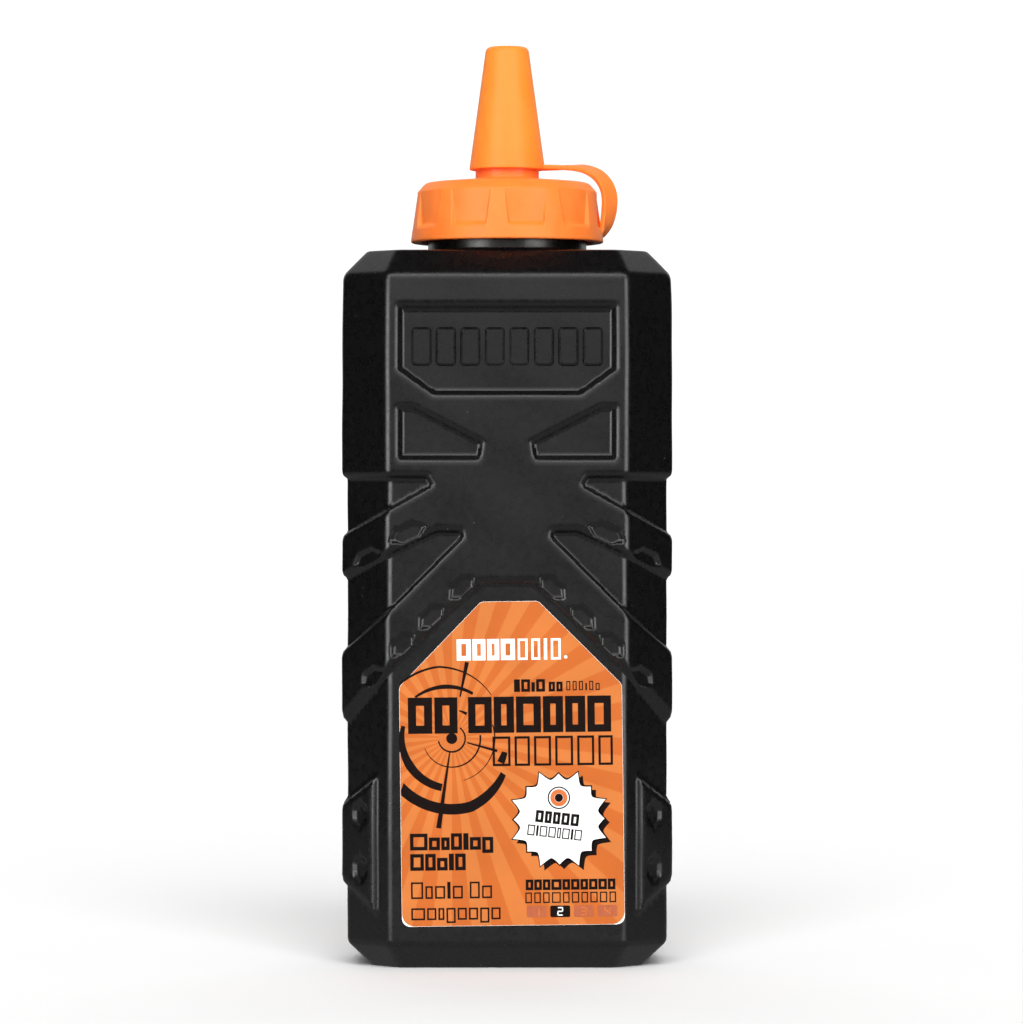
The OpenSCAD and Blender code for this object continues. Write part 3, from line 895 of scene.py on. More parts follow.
    def skin(self) -> bpy.types.Object:
        """The whole skin as one closed grid, up the outside from the base panel and down the inside.

        Returns:
            The object.
        """
        family = self.columns()
        wall, sunk, keep, exact = self.walls(family)
        panel = self.base_panel(wall[0])
        grid = np.concatenate([panel, wall, self.neck(wall[-1]), self.inside(family)])
        rows = slice(len(panel), len(panel) + len(wall))
        level = np.zeros(grid.shape[:2])
        level[rows] = sunk
        thing = grid_object("bottle_skin", grid, start_pole=True, end_pole=True, level=level)
        normals = grid_normals(grid)
        normals[rows][keep] = exact
        poles = np.array([[0, 0, -1.0], [0, 0, 1.0]])
        thing.data.normals_split_custom_set_from_vertices(np.vstack([normals.reshape(-1, 3), poles]).tolist())
        return thing

    def shifts(self, x: np.ndarray, z: np.ndarray, free: np.ndarray) -> tuple[np.ndarray, np.ndarray]:
        """Shifts that put grid points on the folds, each less than half the way to a neighbour.

        Args:
            x: Place across of each point.
            z: Height of each point.
            free: Whether each column may move sideways.

        Returns:
            The shifts in x and in z.
        """
        share, least = 0.47, 1e-6
        gap_x = np.abs(x - np.roll(x, 1, axis=1))
        room_x = share * np.minimum(gap_x, np.roll(gap_x, -1, axis=1)) * free + least
        gap_z = np.abs(np.diff(z, axis=0, prepend=z[:1] - 1))
        room_z = share * np.minimum(gap_z, np.roll(gap_z, -1, axis=0)) + least
        return self.pattern.snapped(x, z, room_x, room_z)

    def seam(self, x: np.ndarray, y: np.ndarray, z: np.ndarray) -> np.ndarray:
        """Height of the mould's parting line, a thin rounded ridge down the middle of each side.

        Args:
            x: Place across.
            y: Place from front to back.
            z: Height.

        Returns:
            Height of the ridge at each point.
        """
        height, half_width, side_from = 0.14, 0.3, 30
        ends = smooth_step(7.0, 12.0, z) * (1 - smooth_step(136.0, 145.0, z))
        return height * np.exp(-((y / half_width) ** 2)) * (np.abs(x) > side_from) * ends

    def wall_normals(self, facing: np.ndarray, x: np.ndarray, y: np.ndarray, z: np.ndarray) -> np.ndarray:
        """Exact normals of the walls: n + (dh/dt) t + (dh/dz) up, for depth h below a wall facing n.

        Args:
            facing: Wall normal of each column.
            x: Place across of each point.
            y: Place from front to back of each point.
            z: Height of each point.

        Returns:
            Unit normals.
        """
        d = 0.1
        slope_x = (self.pattern.at(x + d, z) - self.pattern.at(x - d, z)) / (2 * d)
        slope_y = -(self.seam(x, y + d, z) - self.seam(x, y - d, z)) / (2 * d)
        slope_z = (self.pattern.at(x, z + d) - self.pattern.at(x, z - d)) / (2 * d)
        along = np.stack([-facing[:, 1], facing[:, 0]], -1)
        tilt = slope_x * along[None, :, 0] + slope_y * along[None, :, 1]
        flat = facing[None] + tilt[..., None] * along[None]
        out = np.dstack([flat, slope_z])
        return out / np.linalg.norm(out, axis=-1, keepdims=True)

    def thread(self) -> bpy.types.Object:
        """The neck's thread, a trapezoid ridge pointing outward.

        Returns:
            The object.
        """
        section = fillet_path([(-0.5, -1.3), (1.25, -0.5), (1.25, 0.5), (-0.5, 1.3)], [0, 0.3, 0.3, 0],
                              arc=3)
        return screw_thread("bottle_thread", section, self.neck_r, 0.0, THREAD_START, 1)

    def bars(self) -> bpy.types.Object:
        """Raised blocks in both nameplate pockets, with rounded corners and sloping sides.

        Returns:
            The object.
        """
        count, pitch, half = 8, 5.3, 2.1
        foot, top, floor, face, slope = 130.7, 138.9, 23.6, 24.3, 0.45
        shape = Inlay("nameplate_bars", 0.0, 0.0)
        for i in range(count):
            x = (i - (count - 1) / 2) * pitch
            for side in (-1, 1):
                shape.block(x - half, x + half, foot, top, side * floor, side * face, slope)
        return shape.build()

    def build(self) -> None:
        """Makes the bottle's pieces in place of its CAD node."""
        for thing in (self.skin(), self.thread(), self.bars()):
            self.paint.coat(thing, Tone.BOTTLE)
            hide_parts("bottle")
            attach(thing, self.body)


# ---------------------------------------------------------------- label


class Inlay:
    """Collects flat shapes in x and z as thin prisms and makes one object of them."""

    def __init__(self, name: str, back: float, front: float, flip: bool = False, turn: float = 0.0,
                 pivot: tuple[float, float] = (0.0, 0.0)) -> None:
        """Sets the two y planes that the prisms lie between.

        Args:
            name: Object name.
            back: Inner plane.
            front: Outer plane, the visible one.
            flip: Whether shapes are turned half a turn about Z, for the back label.
            turn: Anticlockwise turn in degrees, as seen from the front.
            pivot: Point that the turn is about.
        """
        self.name, self.back, self.front, self.flip = name, back, front, flip
        self.turn, self.pivot = turn, pivot
        self.points: list[np.ndarray] = []
        self.faces: list[np.ndarray] = []
        self.count = 0

    def add(self, points: np.ndarray, faces: list[np.ndarray]) -> None:
        """Adds points and faces, numbered on from what is there.

        Args:
            points: Points in millimetres, one row each.
            faces: Blocks of faces, numbered from 0.
        """
        self.points.append(points)
        self.faces += [block + self.count for block in faces]
        self.count += len(points)

    def prism(self, flat: np.ndarray) -> np.ndarray:
        """The same x and z points on the back plane and then on the front plane."""
        return np.insert(np.vstack([flat, flat]), 1, np.repeat([self.back, self.front], len(flat)), axis=1)

    def polygon(self, outline: np.ndarray) -> None:
        """Adds a prism on an outline, turned anticlockwise first if it runs the other way.

        Args:
            outline: Corners in x and z, one row each.
        """
        p = np.asarray(outline, float)
        area = float(np.sum(p[:, 0] * np.roll(p[:, 1], -1) - np.roll(p[:, 0], -1) * p[:, 1]))
        if area < 0:
            p = p[::-1]
        n = len(p)
        i = np.arange(n)
        j = (i + 1) % n
        self.add(self.prism(p), [i[None, ::-1], i[None] + n, np.stack([i, j, j + n, i + n], -1)])

    def bar(self, x0: float, x1: float, z0: float, z1: float, radius: float = 0.0) -> None:
        """Adds an upright rectangle, with rounded corners if a radius is given."""
        r = min(radius, (x1 - x0) / 2.01, (z1 - z0) / 2.01)
        self.polygon(fillet_path([(x0, z0), (x1, z0), (x1, z1), (x0, z1)], [r] * 4, closed=True, arc=4))

    def arc(self, cx: float, cz: float, start: float, end: float, radii: tuple[float, float],
            widths: tuple[float, float, float], steps: int = 72, limit: float = -math.inf) -> None:
        """Adds a curved band whose radius and width change evenly from its start to its end.

        Args:
            cx: Centre x.
            cz: Centre z.
            start: First angle in degrees.
            end: Last angle in degrees.
            radii: Middle radius at the start and the end.
            widths: Width at the start, the middle and the end.
            steps: Segments along the band.
            limit: Least x, where an edge cuts the band off.
        """
        t = np.linspace(0, 1, steps + 1)
        a = np.radians(start + (end - start) * t)
        r = radii[0] + (radii[1] - radii[0]) * t
        w = np.interp(t, [0, 0.5, 1], widths) / 2
        outer = np.column_stack([cx + (r + w) * np.cos(a), cz + (r + w) * np.sin(a)])
        inner = np.column_stack([cx + (r - w) * np.cos(a), cz + (r - w) * np.sin(a)])
        n = len(t)
        flat = np.vstack([outer, inner])
        flat[:, 0] = np.maximum(flat[:, 0], limit)
        i = np.arange(n - 1)
        m = 2 * n
        faces = np.vstack([np.stack([i + m, i + 1 + m, i + 1 + n + m, i + n + m], -1),
                           np.stack([i, i + n, i + 1 + n, i + 1], -1),
                           np.stack([i, i + 1, i + 1 + m, i + m], -1),
                           np.stack([i + n, i + n + m, i + 1 + n + m, i + 1 + n], -1),
                           [[0, m, n + m, n], [n - 1, 2 * n - 1, 2 * n - 1 + m, n - 1 + m]]])
        self.add(self.prism(flat), [faces if end < start else faces[:, ::-1]])

    def block(self, x0: float, x1: float, z0: float, z1: float, inner: float, outer: float,
              slope: float) -> None:
        """Adds a raised block with rounded corners and a bevelled outer edge.

        Args:
            x0: Left edge.
            x1: Right edge.
            z0: Bottom edge.
            z1: Top edge.
            inner: The y plane of its foot.
            outer: The y plane of its face.
            slope: How far each side leans in.
        """
        step = (outer - inner) / abs(outer - inner)
        bevel = ((-slope / 2, inner, 0.9), (slope * 0.3, outer - step * 0.22, 0.9), (slope, outer, 0.75))
        rings = []
        for inset, y, r in bevel:
            left, right, low, high = x0 + inset, x1 - inset, z0 + inset, z1 - inset
            flat = fillet_path([(left, low), (right, low), (right, high), (left, high)], [r] * 4,
                               closed=True, arc=5)
            rings.append(np.column_stack([flat[:, 0], np.full(len(flat), y), flat[:, 1]]))
        n = len(rings[0])
        i = np.arange(n)
        j = (i + 1) % n
        faces = [i[None, ::-1], i[None] + 2 * n]
        faces += [np.stack([i + k, j + k, j + k + n, i + k + n], -1) for k in (0, n)]
        if outer > inner:
            faces = [rows[:, ::-1] for rows in faces]
        self.add(np.vstack(rings), faces)

    def frame(self, x0: float, x1: float, z0: float, z1: float, stroke: float) -> None:
        """Adds a hollow upright rectangle, or a solid one where its two sides would nearly meet.

        Args:
            x0: Left edge.
            x1: Right edge.
            z0: Bottom edge.
            z1: Top edge.
            stroke: Width of the sides. The top and bottom are no wider, and thinner on a low box.
        """
        if x1 - x0 <= 2.2 * stroke:
            self.bar(x0, x1, z0, z1)
            return
        cap = min(stroke, (z1 - z0) * 0.28)
        self.bar(x0, x0 + stroke, z0, z1)
        self.bar(x1 - stroke, x1, z0, z1)
        self.bar(x0 + stroke, x1 - stroke, z0, z0 + cap)
        self.bar(x0 + stroke, x1 - stroke, z1 - cap, z1)

    def word(self, x0: float, x1: float, z0: float, z1: float, shares: list[float], gap: float, stroke: float,
             tall: str = "") -> None:
        """Adds a row of plain upright boxes of the given relative widths.

        Args:
            x0: Left edge.
            x1: Right edge.
            z0: Bottom edge.
            z1: Top edge.
            shares: Relative box widths.
            gap: Gap between boxes.
            stroke: Width of each box's sides.
            tall: One mark a box: T full height, x lower, d reaching below. Empty for full height all along.
        """
        room = (x1 - x0 - gap * (len(shares) - 1)) / sum(shares)
        high = z1 - z0
        x = x0
        for k, share in enumerate(shares):
            w = share * room
            mark = tall[k] if tall else "T"
            top = z1 if mark == "T" else z0 + high * 0.76
            low = z0 - high * 0.2 if mark == "d" else z0
            self.frame(x, x + w, low, top, stroke)
            x += w + gap

    def build(self) -> bpy.types.Object:
        """Makes the object from everything added.

        Returns:
            The object.
        """
        points = np.vstack(self.points)
        t, (px, pz) = math.radians(self.turn), self.pivot
        x, z = points[:, 0] - px, points[:, 2] - pz
        points = np.column_stack([px + x * math.cos(t) - z * math.sin(t), points[:, 1],
                                  pz + x * math.sin(t) + z * math.cos(t)])
        if self.flip:
            points = points * [-1, -1, 1]
        return mesh_object(self.name, points, self.faces, smooth=False)


@dataclass
class Label:
    """One applied label: stock, and its inks as thin layers on it."""

    paint: Paintbox
    name: str
    node: str
    slot: str
    flip: bool
    shift: float = 0.0
    turn: float = 0.0
    face: float = -23.95
    wall: float = -23.78
    half: float = 24.1
    foot: float = 9.6
    shoulder: float = 61.5
    top: float = 79.7
    top_half: float = 6.2
    corner: float = 1.8
    middle: float = 44.65
    layer_rise: float = 0.02
    ring_limit: float = 23.95
    body: str = "bottle_body"

    def outline(self, inset: float = 0.0, low: float = 1.8) -> np.ndarray:
        """Six-sided label with rounded corners.

        Args:
            inset: How far the outline is moved in.
            low: Radius of the two bottom corners.

        Returns:
            Corner points.
        """
        i, m, slant = inset, self.shift, inset * 0.4
        return fillet_path([(m - self.half + i, self.foot + i), (m + self.half - i, self.foot + i),
                            (m + self.half - i, self.shoulder - slant),
                            (m + self.top_half - slant, self.top - i),
                            (m - self.top_half + slant, self.top - i),
                            (m - self.half + i, self.shoulder - slant)],
                           [low, low] + [self.corner] * 4, closed=True, arc=8)

    def layer(self, key: str, level: int) -> Inlay:
        """A new layer: level 0 is the stock, and each level of print or ink stands a little higher."""
        back = self.face + 0.04 if level else self.wall
        front = self.face - self.layer_rise * level
        return Inlay(f"{self.name}_{key}", back, front, self.flip, self.turn, (self.shift, self.middle))

    def finish(self, inlay: Inlay, tone: Tone) -> None:
        """Makes a layer, paints it and lets it ride with the bottle.

        Args:
            inlay: The layer.
            tone: Its finish.
        """
        thing = inlay.build()
        self.paint.coat(thing, tone)
        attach(thing, self.body)

    def stock(self) -> None:
        """The label itself, in place of its CAD node, with a thin white cut edge round the print."""
        edge = self.layer("stock", 0)
        edge.polygon(self.outline())
        thing = edge.build()
        self.paint.coat(thing, Tone.INK_WHITE)
        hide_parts(self.node)
        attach(thing, self.body)
        ground = self.layer("print", 1)
        ground.polygon(self.outline(0.06, 2.7))
        self.finish(ground, Tone.LABEL)

    def rings(self, black: Inlay) -> None:
        """Adds the broken rings of the target, cut off at the label's left edge, and its middle dot.

        Args:
            black: Layer that takes them.
        """
        edge = self.shift - self.ring_limit
        band = partial(black.arc, *TARGET)
        band(222, 285, (15.3, 15.3), (2.3, 2.3, 2.3), limit=edge)
        band(285, 325, (15.3, 13.5), (2.3, 2.0, 1.3))
        band(146, 100, (16.5, 15.75), (0.45, 0.5, 0.45), limit=edge)
        band(100, 47, (15.75, 12.7), (0.45, 0.3, 0.15))
        band(165, 258, (10.8, 10.8), (0.9, 1.9, 1.6))
        band(131, 64, (11.9, 10.7), (0.5, 0.95, 0.6))
        band(333, 345, (11.8, 11.8), (1.6, 1.5, 1.2), steps=12)
        band(58, 75, (6.2, 6.2), (0.7, 0.5, 0.2), steps=12)
        band(200, 366, (6.2, 6.2), (0.15, 0.3, 0.4))
        band(190, 412, (2.9, 2.9), (0.3, 0.4, 0.3))
        band(285, 378, (9.4, 9.3), (0.12, 0.2, 0.3))
        band(0, 360, (0.6, 0.6), (1.2, 1.2, 1.2), steps=24)

    def titles(self, words: Inlay, white: Inlay) -> None:
        """Adds the rows of boxes, each given by its edges, box widths, gap, stroke and marks.

        Args:
            words: Layer of the black rows.
            white: Layer of the white row at the top.
        """
        white.word(-10.6, 2.0, 67.0, 71.6, [1, 0.92, 0.86, 1], 0.35, 1.0)
        white.word(2.6, 11.9, 67.0, 71.6, [0.9, 0.8, 0.3, 0.9], 0.8, 0.5)
        white.bar(12.6, 13.3, 67.2, 67.9, 0.3)
        scale_title = [0.9, 0.9, 0.9, 1.2, 0.9, 1, 0.9, 1, 1, 0.9]
        rows = (
            (1.7, 8.4, 60.1, 62.8, [0.6, 0.9, 0.35, 0.9], 0.28, 0.62, "TTxT"),
            (9.2, 12.2, 60.1, 62.2, [1, 1], 0.3, 0.55),
            (13.0, 20.2, 60.3, 62.3, [1, 1, 1, 0.4, 1, 1], 0.5, 0.22, "TTTxTx"),
            (-21.3, -10.6, 51.3, 59.1, [1.05, 1], 0.5, 1.75),
            (-8.3, 22.6, 51.3, 59.1, [1, 0.85, 1.05, 0.85, 0.85, 1], 0.45, 1.6),
            (-3.1, 22.9, 44.1, 50.5, [1.05, 0.9, 1, 1.05, 1, 0.85], 0.9, 0.5),
            (-21.2, -3.2, 26.1, 29.7, [1.35, 0.85, 0.65, 0.85, 0.4, 0.85, 0.85], 0.28, 0.75, "TxxTTxd"),
            (-21.2, -9.2, 21.7, 25.3, [1.1, 0.85, 0.85, 0.4, 0.85], 0.28, 0.75, "TTxTT"),
            (-21.1, -9.9, 15.6, 19.2, [1.15, 0.7, 0.95, 0.3, 0.95], 0.5, 0.36, "TxxTx"),
            (-8.4, -3.6, 15.6, 19.2, [1, 1], 0.5, 0.36, "Tx"),
            (-21.1, -1.8, 11.0, 14.4, [1.5, 1, 0.65, 1, 1, 1, 1, 1], 0.45, 0.36, "xxxdxxdx"),
            (3.7, 23.1, 17.2, 19.5, scale_title, 0.2, 0.6),
            (3.6, 23.2, 14.4, 16.7, scale_title, 0.5, 0.26),
        )
        for row in rows:
            words.word(*row)

    def spokes(self, inlay: Inlay) -> None:
        """Adds three long wedges that run out from the target's middle.

        Args:
            inlay: Layer that takes them.
        """
        middle = np.array(TARGET)
        wedges = ((261, 3.0, 19.6, 0.25, 1.1), (78, 9.2, 16.8, 0.3, 0.9), (344, 3.4, 10.2, 0.25, 0.6))
        for angle, near, far, near_width, far_width in wedges:
            t = math.radians(angle)
            along, side = np.array([math.cos(t), math.sin(t)]), np.array([-math.sin(t), math.cos(t)])
            start, end = middle + along * near, middle + along * far
            inlay.polygon(np.array([start - side * near_width / 2, end - side * far_width / 2,
                                    end + side * far_width / 2, start + side * near_width / 2]))

    def badge(self, black: Inlay) -> None:
        """Makes the star badge with its shadow, rings and two tilted rows, and the target's spokes.

        Args:
            black: Layer that takes the badge's outline and shadow.
        """
        x, z = 11.1, 32.5
        eye = z + 4.6
        self.star(black, x + 0.95, z - 0.85, 0.2)
        self.star(black, x, z, 0.42)
        face = self.layer("badge_white", 3)
        self.star(face, x, z, 0.0)
        self.finish(face, Tone.INK_WHITE)
        over = self.layer("badge_black", 4)
        self.spokes(over)
        over.arc(x, eye, 0, 360, (2.3, 2.3), (0.3, 0.3, 0.3), steps=48)
        over.arc(x, eye, 0, 360, (0.45, 0.45), (0.9, 0.9, 0.9), steps=24)
        self.tilted_word(over, x - 0.4, z + 0.2, 9.4, 2.6, [1, 0.85, 0.9, 1, 1], -7, 0.62)
        self.tilted_word(over, x - 1.0, z - 2.9, 11.8, 2.3, [1, 0.3, 1, 1, 0.5, 1, 0.3, 1], -7, 0.27)
        self.finish(over, Tone.INK_BLACK)
        iris = self.layer("badge_orange", 4)
        iris.arc(x, eye, 0, 360, (1.4, 1.4), (0.9, 0.9, 0.9), steps=48)
        self.finish(iris, Tone.INK_ORANGE)

    def scale(self, black: Inlay) -> None:
        """Makes the scale of four numbered boxes, with the second one marked.

        Args:
            black: Layer that takes the marked box.
        """
        rust = self.layer("ink_rust", 2)
        digits, pale = self.layer("digits_orange", 3), self.layer("digit_white", 3)
        marked, width, low, high = 2, 4.3, 11.3, 13.8
        for value, x in enumerate((3.85, 8.95, 14.05, 19.15), start=1):
            (black if value == marked else rust).bar(x, x + width, low, high, 0.35)
            self.digit(pale if value == marked else digits, value, x + width / 2, 12.55)
        self.finish(digits, Tone.INK_ORANGE)
        self.finish(pale, Tone.INK_WHITE)
        self.finish(rust, Tone.INK_RUST)

    def front_art(self) -> None:
        """Plain rings, rows of boxes, a plain star badge and four numbered boxes."""
        black, white = self.layer("ink_black", 2), self.layer("ink_white", 2)
        words = self.layer("ink_words", 3)
        self.rings(black)
        self.titles(words, white)
        self.badge(black)
        self.scale(black)
        self.finish(black, Tone.INK_BLACK)
        self.finish(words, Tone.INK_BLACK)
        self.finish(white, Tone.INK_WHITE)

    def back_art(self) -> None:
        """Two rows of boxes, lines of plain bars, and a plain plate of upright bars."""
        black, white = self.layer("ink_black", 2), self.layer("ink_white", 2)
        white.word(-9, 9, 66.6, 70.6, [1, 1, 0.9, 1.1, 0.8, 1], 0.4, 0.8)
        black.word(-20.5, 20.5, 56.4, 60.4, [1, 0.8, 1, 1, 0.4, 1, 0.8, 1, 1, 1], 0.5, 1.1)
        rng = np.random.default_rng(7)
        left, right, short = -21.0, 21.0, 6.0
        for row in range(13):
            z = 53.2 - row * 1.75
            x, end = left, right if row % 5 < 4 else short
            while x < end - 1.5:
                w = min(float(rng.uniform(1.4, 5.0)), end - x)
                black.bar(x, x + w, z, z + 0.75)
                x += w + 0.6
        plate = self.layer("plate_white", 2)
        plate.bar(-2.0, right, 12.6, 26.6, 0.5)
        self.finish(plate, Tone.INK_WHITE)
        lines = self.layer("plate_black", 3)
        x, last = 0.0, 18.6
        while x < last:
            w = float(rng.choice([0.25, 0.25, 0.5, 0.75]))
            lines.bar(x, x + w, 14.4, 25.2)
            x += w + float(rng.choice([0.3, 0.3, 0.6]))
        self.finish(lines, Tone.INK_BLACK)
        for row in range(5):
            black.bar(left, -6.0 - 2.0 * (row % 2), 24.6 - row * 2.7, 25.7 - row * 2.7)
        self.finish(black, Tone.INK_BLACK)
        self.finish(white, Tone.INK_WHITE)

    def star(self, inlay: Inlay, x: float, z: float, grow: float) -> None:
        """Adds a sixteen-pointed burst with hollowed sides and alternate long and short tips.

        Between two tips the radius is root + (tip - root) |s| ^ 1.7, with s from -1 to 1.

        Args:
            inlay: Layer that takes it.
            x: Middle x.
            z: Middle z.
            grow: How much larger it is all round.
        """
        tips, steps, root, long, short = 16, 12, 8.6, 10.9, 9.8
        k = np.arange(tips * steps)
        s = (k % steps) / steps * 2 - 1
        even = k // steps % 2 == 0
        tip = np.where(s < 0, np.where(even, long, short), np.where(even, short, long))
        r = root + (tip - root) * np.abs(s) ** 1.7 + grow
        a = 2 * math.pi * (k / len(k)) + math.radians(22.5)
        inlay.polygon(np.column_stack([x + r * np.cos(a), z + r * np.sin(a)]))

    def tilted_word(self, inlay: Inlay, x: float, z: float, width: float, height: float, shares: list[float],
                    angle: float, stroke: float) -> None:
        """Adds a row of boxes turned about its own middle.

        Args:
            inlay: Layer that takes it.
            x: Middle x.
            z: Middle z.
            width: Length of the row.
            height: Height of its boxes.
            shares: Relative box widths.
            angle: Anticlockwise turn in degrees.
            stroke: Width of each box's sides.
        """
        row = Inlay("scratch", inlay.back, inlay.front)
        row.word(-width / 2, width / 2, -height / 2, height / 2, shares, 0.3, stroke)
        t = math.radians(angle)
        points = np.vstack(row.points)
        px = x + points[:, 0] * math.cos(t) - points[:, 2] * math.sin(t)
        pz = z + points[:, 0] * math.sin(t) + points[:, 2] * math.cos(t)
        inlay.add(np.column_stack([px, points[:, 1], pz]), row.faces)

    def digit(self, inlay: Inlay, value: int, x: float, z: float) -> None:
        """Adds one digit from seven straight strokes, lettered clockwise from the top, with g in the middle.

        Args:
            inlay: Layer that takes it.
            value: The digit, 1 to 4.
            x: Middle x.
            z: Middle z.
        """
        on = {1: "bc", 2: "abged", 3: "abgcd", 4: "fgbc"}[value]
        w, h, s = 0.5, 0.8, 0.13
        strokes = {"a": (-w, w, h - s, h + s), "g": (-w, w, -s, s), "d": (-w, w, -h - s, -h + s),
                   "b": (w - s, w + s, 0, h), "c": (w - s, w + s, -h, 0), "f": (-w - s, -w + s, 0, h),
                   "e": (-w - s, -w + s, -h, 0)}
        for key in on:
            x0, x1, z0, z1 = strokes[key]
            inlay.bar(x + x0, x + x1, z + z0, z + z1)

    def build(self) -> None:
        """Makes the label and its inks."""
        self.stock()
        if self.flip:
            self.back_art()
        else:
            self.front_art()


# ---------------------------------------------------------------- closure


@dataclass
class Closure:
    """The screw closure with its grip panels, collar, nozzle and inner thread."""

    paint: Paintbox
    rim: float = 158.4
    rim_r: float = 21.25
    bore_r: float = 19.05
    panel_r: float = 19.8
    grips: int = 10
    phase: float = 264.0
    body: str = "closure_body"

    def columns(self) -> tuple[np.ndarray, np.ndarray, np.ndarray]:
        """Columns as base + lean * half, so that those at a panel's edge follow its taper.

        Here half is the rib's half angle. Within a rib the angle is a share of half, at an edge it is half
        plus a fixed offset, and across a panel it runs evenly from edge to edge.

        Returns:
            The base angles, the leans, and how far each column is into its panel from the nearer edge.
        """
        pitch, margin, deep = 360 / self.grips, 1.2, 3.0
        edge = np.array([-0.9, -0.5, -0.25, 0.0, 0.25, 0.5, 0.9])
        rib = np.linspace(-0.75, 0.75, 7)
        panel = np.linspace(0, 1, 12)[1:-1]
        base = np.concatenate([rib * 0, edge, panel * (pitch - 2 * margin) + margin, pitch - edge[::-1]])
        lean = np.concatenate([rib, np.ones(len(edge)), 1 - 2 * panel, -np.ones(len(edge))])
        into = np.concatenate([np.full(len(rib), -deep), edge, np.full(len(panel), deep), -edge])
        turns = self.phase + np.arange(self.grips)[:, None] * pitch
        return (turns + base).ravel(), np.tile(lean, self.grips), np.tile(into, self.grips)

    def shell(self) -> bpy.types.Object:
        """Closed profile turned round the axis, with the skirt's radius cut back at each grip panel.

        A panel holds the radius at or under one value between its two edges, from the ledge up to where the
        flared skirt is already narrower. Its ribs narrow upwards. The cut fades in over the ledge and edges.

        Returns:
            The object.
        """
        r = self.rim
        corners = [(self.bore_r, r), (self.rim_r, r), (self.rim_r, r + 0.5), (19.85, 169.5), (18.1, 171.5),
                   (7.0, 172.5), (7.0, 176.5), (4.0, 188.2), (3.6, 188.6), (1.6, 188.6), (1.6, 187.0),
                   (5.7, 175.6), (5.7, 170.3), (self.bore_r, 170.3)]
        radii = [0.3, 0.35, 0.4, 1.5, 1.5, 0.45, 0.4, 0.3, 0.3, 0.3, 0.2, 0.5, 0.3, 0.3]
        profile = fillet_path(corners, radii, closed=True, arc=6, step=0.42)
        now, z = profile[:, 0:1], profile[:, 1]
        base, lean, into = self.columns()
        top_half, taper, taper_top, taper_run = 4.1, 2.9, 170.5, 8.6
        half = top_half + taper * np.clip((taper_top - z) / taper_run, 0, 1)
        turn = np.radians(base[None] + lean[None] * half[:, None])
        skirt = (now[:, 0] > 18.0) & (z > r + 0.8) & (z < 171.6)
        outside = skirt & (np.arange(len(profile)) < np.argmax(z))
        across = smooth_step(-0.5, 0.5, into)[None]
        upward = smooth_step(161.5, 162.1, z)[:, None]
        radius = now - np.maximum(now - self.panel_r, 0) * across * upward * outside[:, None]
        tall = np.broadcast_to(z[:, None], turn.shape)
        grid = np.stack([radius * np.cos(turn), radius * np.sin(turn), tall], -1)
        return grid_object("spout_closure_shell", grid, wrap_rows=True)

    def thread(self) -> bpy.types.Object:
        """The closure's thread, a trapezoid ridge pointing inward on the same helix as the neck's.

        Returns:
            The object.
        """
        start = self.rim + 1.4
        angle = 2 * math.pi * (start - THREAD_START + PITCH / 2) / PITCH
        section = fillet_path([(0.4, 1.2), (-1.2, 0.4), (-1.2, -0.4), (0.4, -1.2)], [0, 0.25, 0.25, 0],
                              arc=3)
        return screw_thread("spout_closure_thread", section, self.bore_r, angle, start, -1)

    def build(self) -> None:
        """Makes the closure's pieces in place of its CAD node."""
        for thing in (self.shell(), self.thread()):
            self.paint.coat(thing, Tone.CLOSURE)
            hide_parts("spout_closure")
            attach(thing, self.body)


@dataclass
class TipCap:
    """The conical tip cap."""

    paint: Paintbox
    body: str = "tip_cap_body"

    def build(self) -> None:
        """Turns the cap's section round its axis: open end, cone, rounded top and inside."""
        corners = [(7.1, 174.55), (8.3, 174.55), (8.3, 175.1), (4.66, 201.7), (0.01, 201.75)]
        outside = fillet_path(corners, [0.25, 0.22, 0.35, 1.25, 0], arc=8, step=0.8)
        inside = fillet_path([(0.01, 200.7), (3.65, 199.7), (7.1, 176.7), (7.1, 174.55)], [0, 0.5, 0.5, 0],
                             arc=4, step=2.5)
        profile = np.vstack([inside, outside[1:]])
        column_angle = 2.0
        grid = revolve(profile, np.radians(np.arange(0, 360, column_angle)))
        thing = grid_object("tip_cap_shell", grid, start_pole=True, end_pole=True)
        self.paint.coat(thing, Tone.CAP)
        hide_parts("tip_cap")
        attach(thing, self.body)


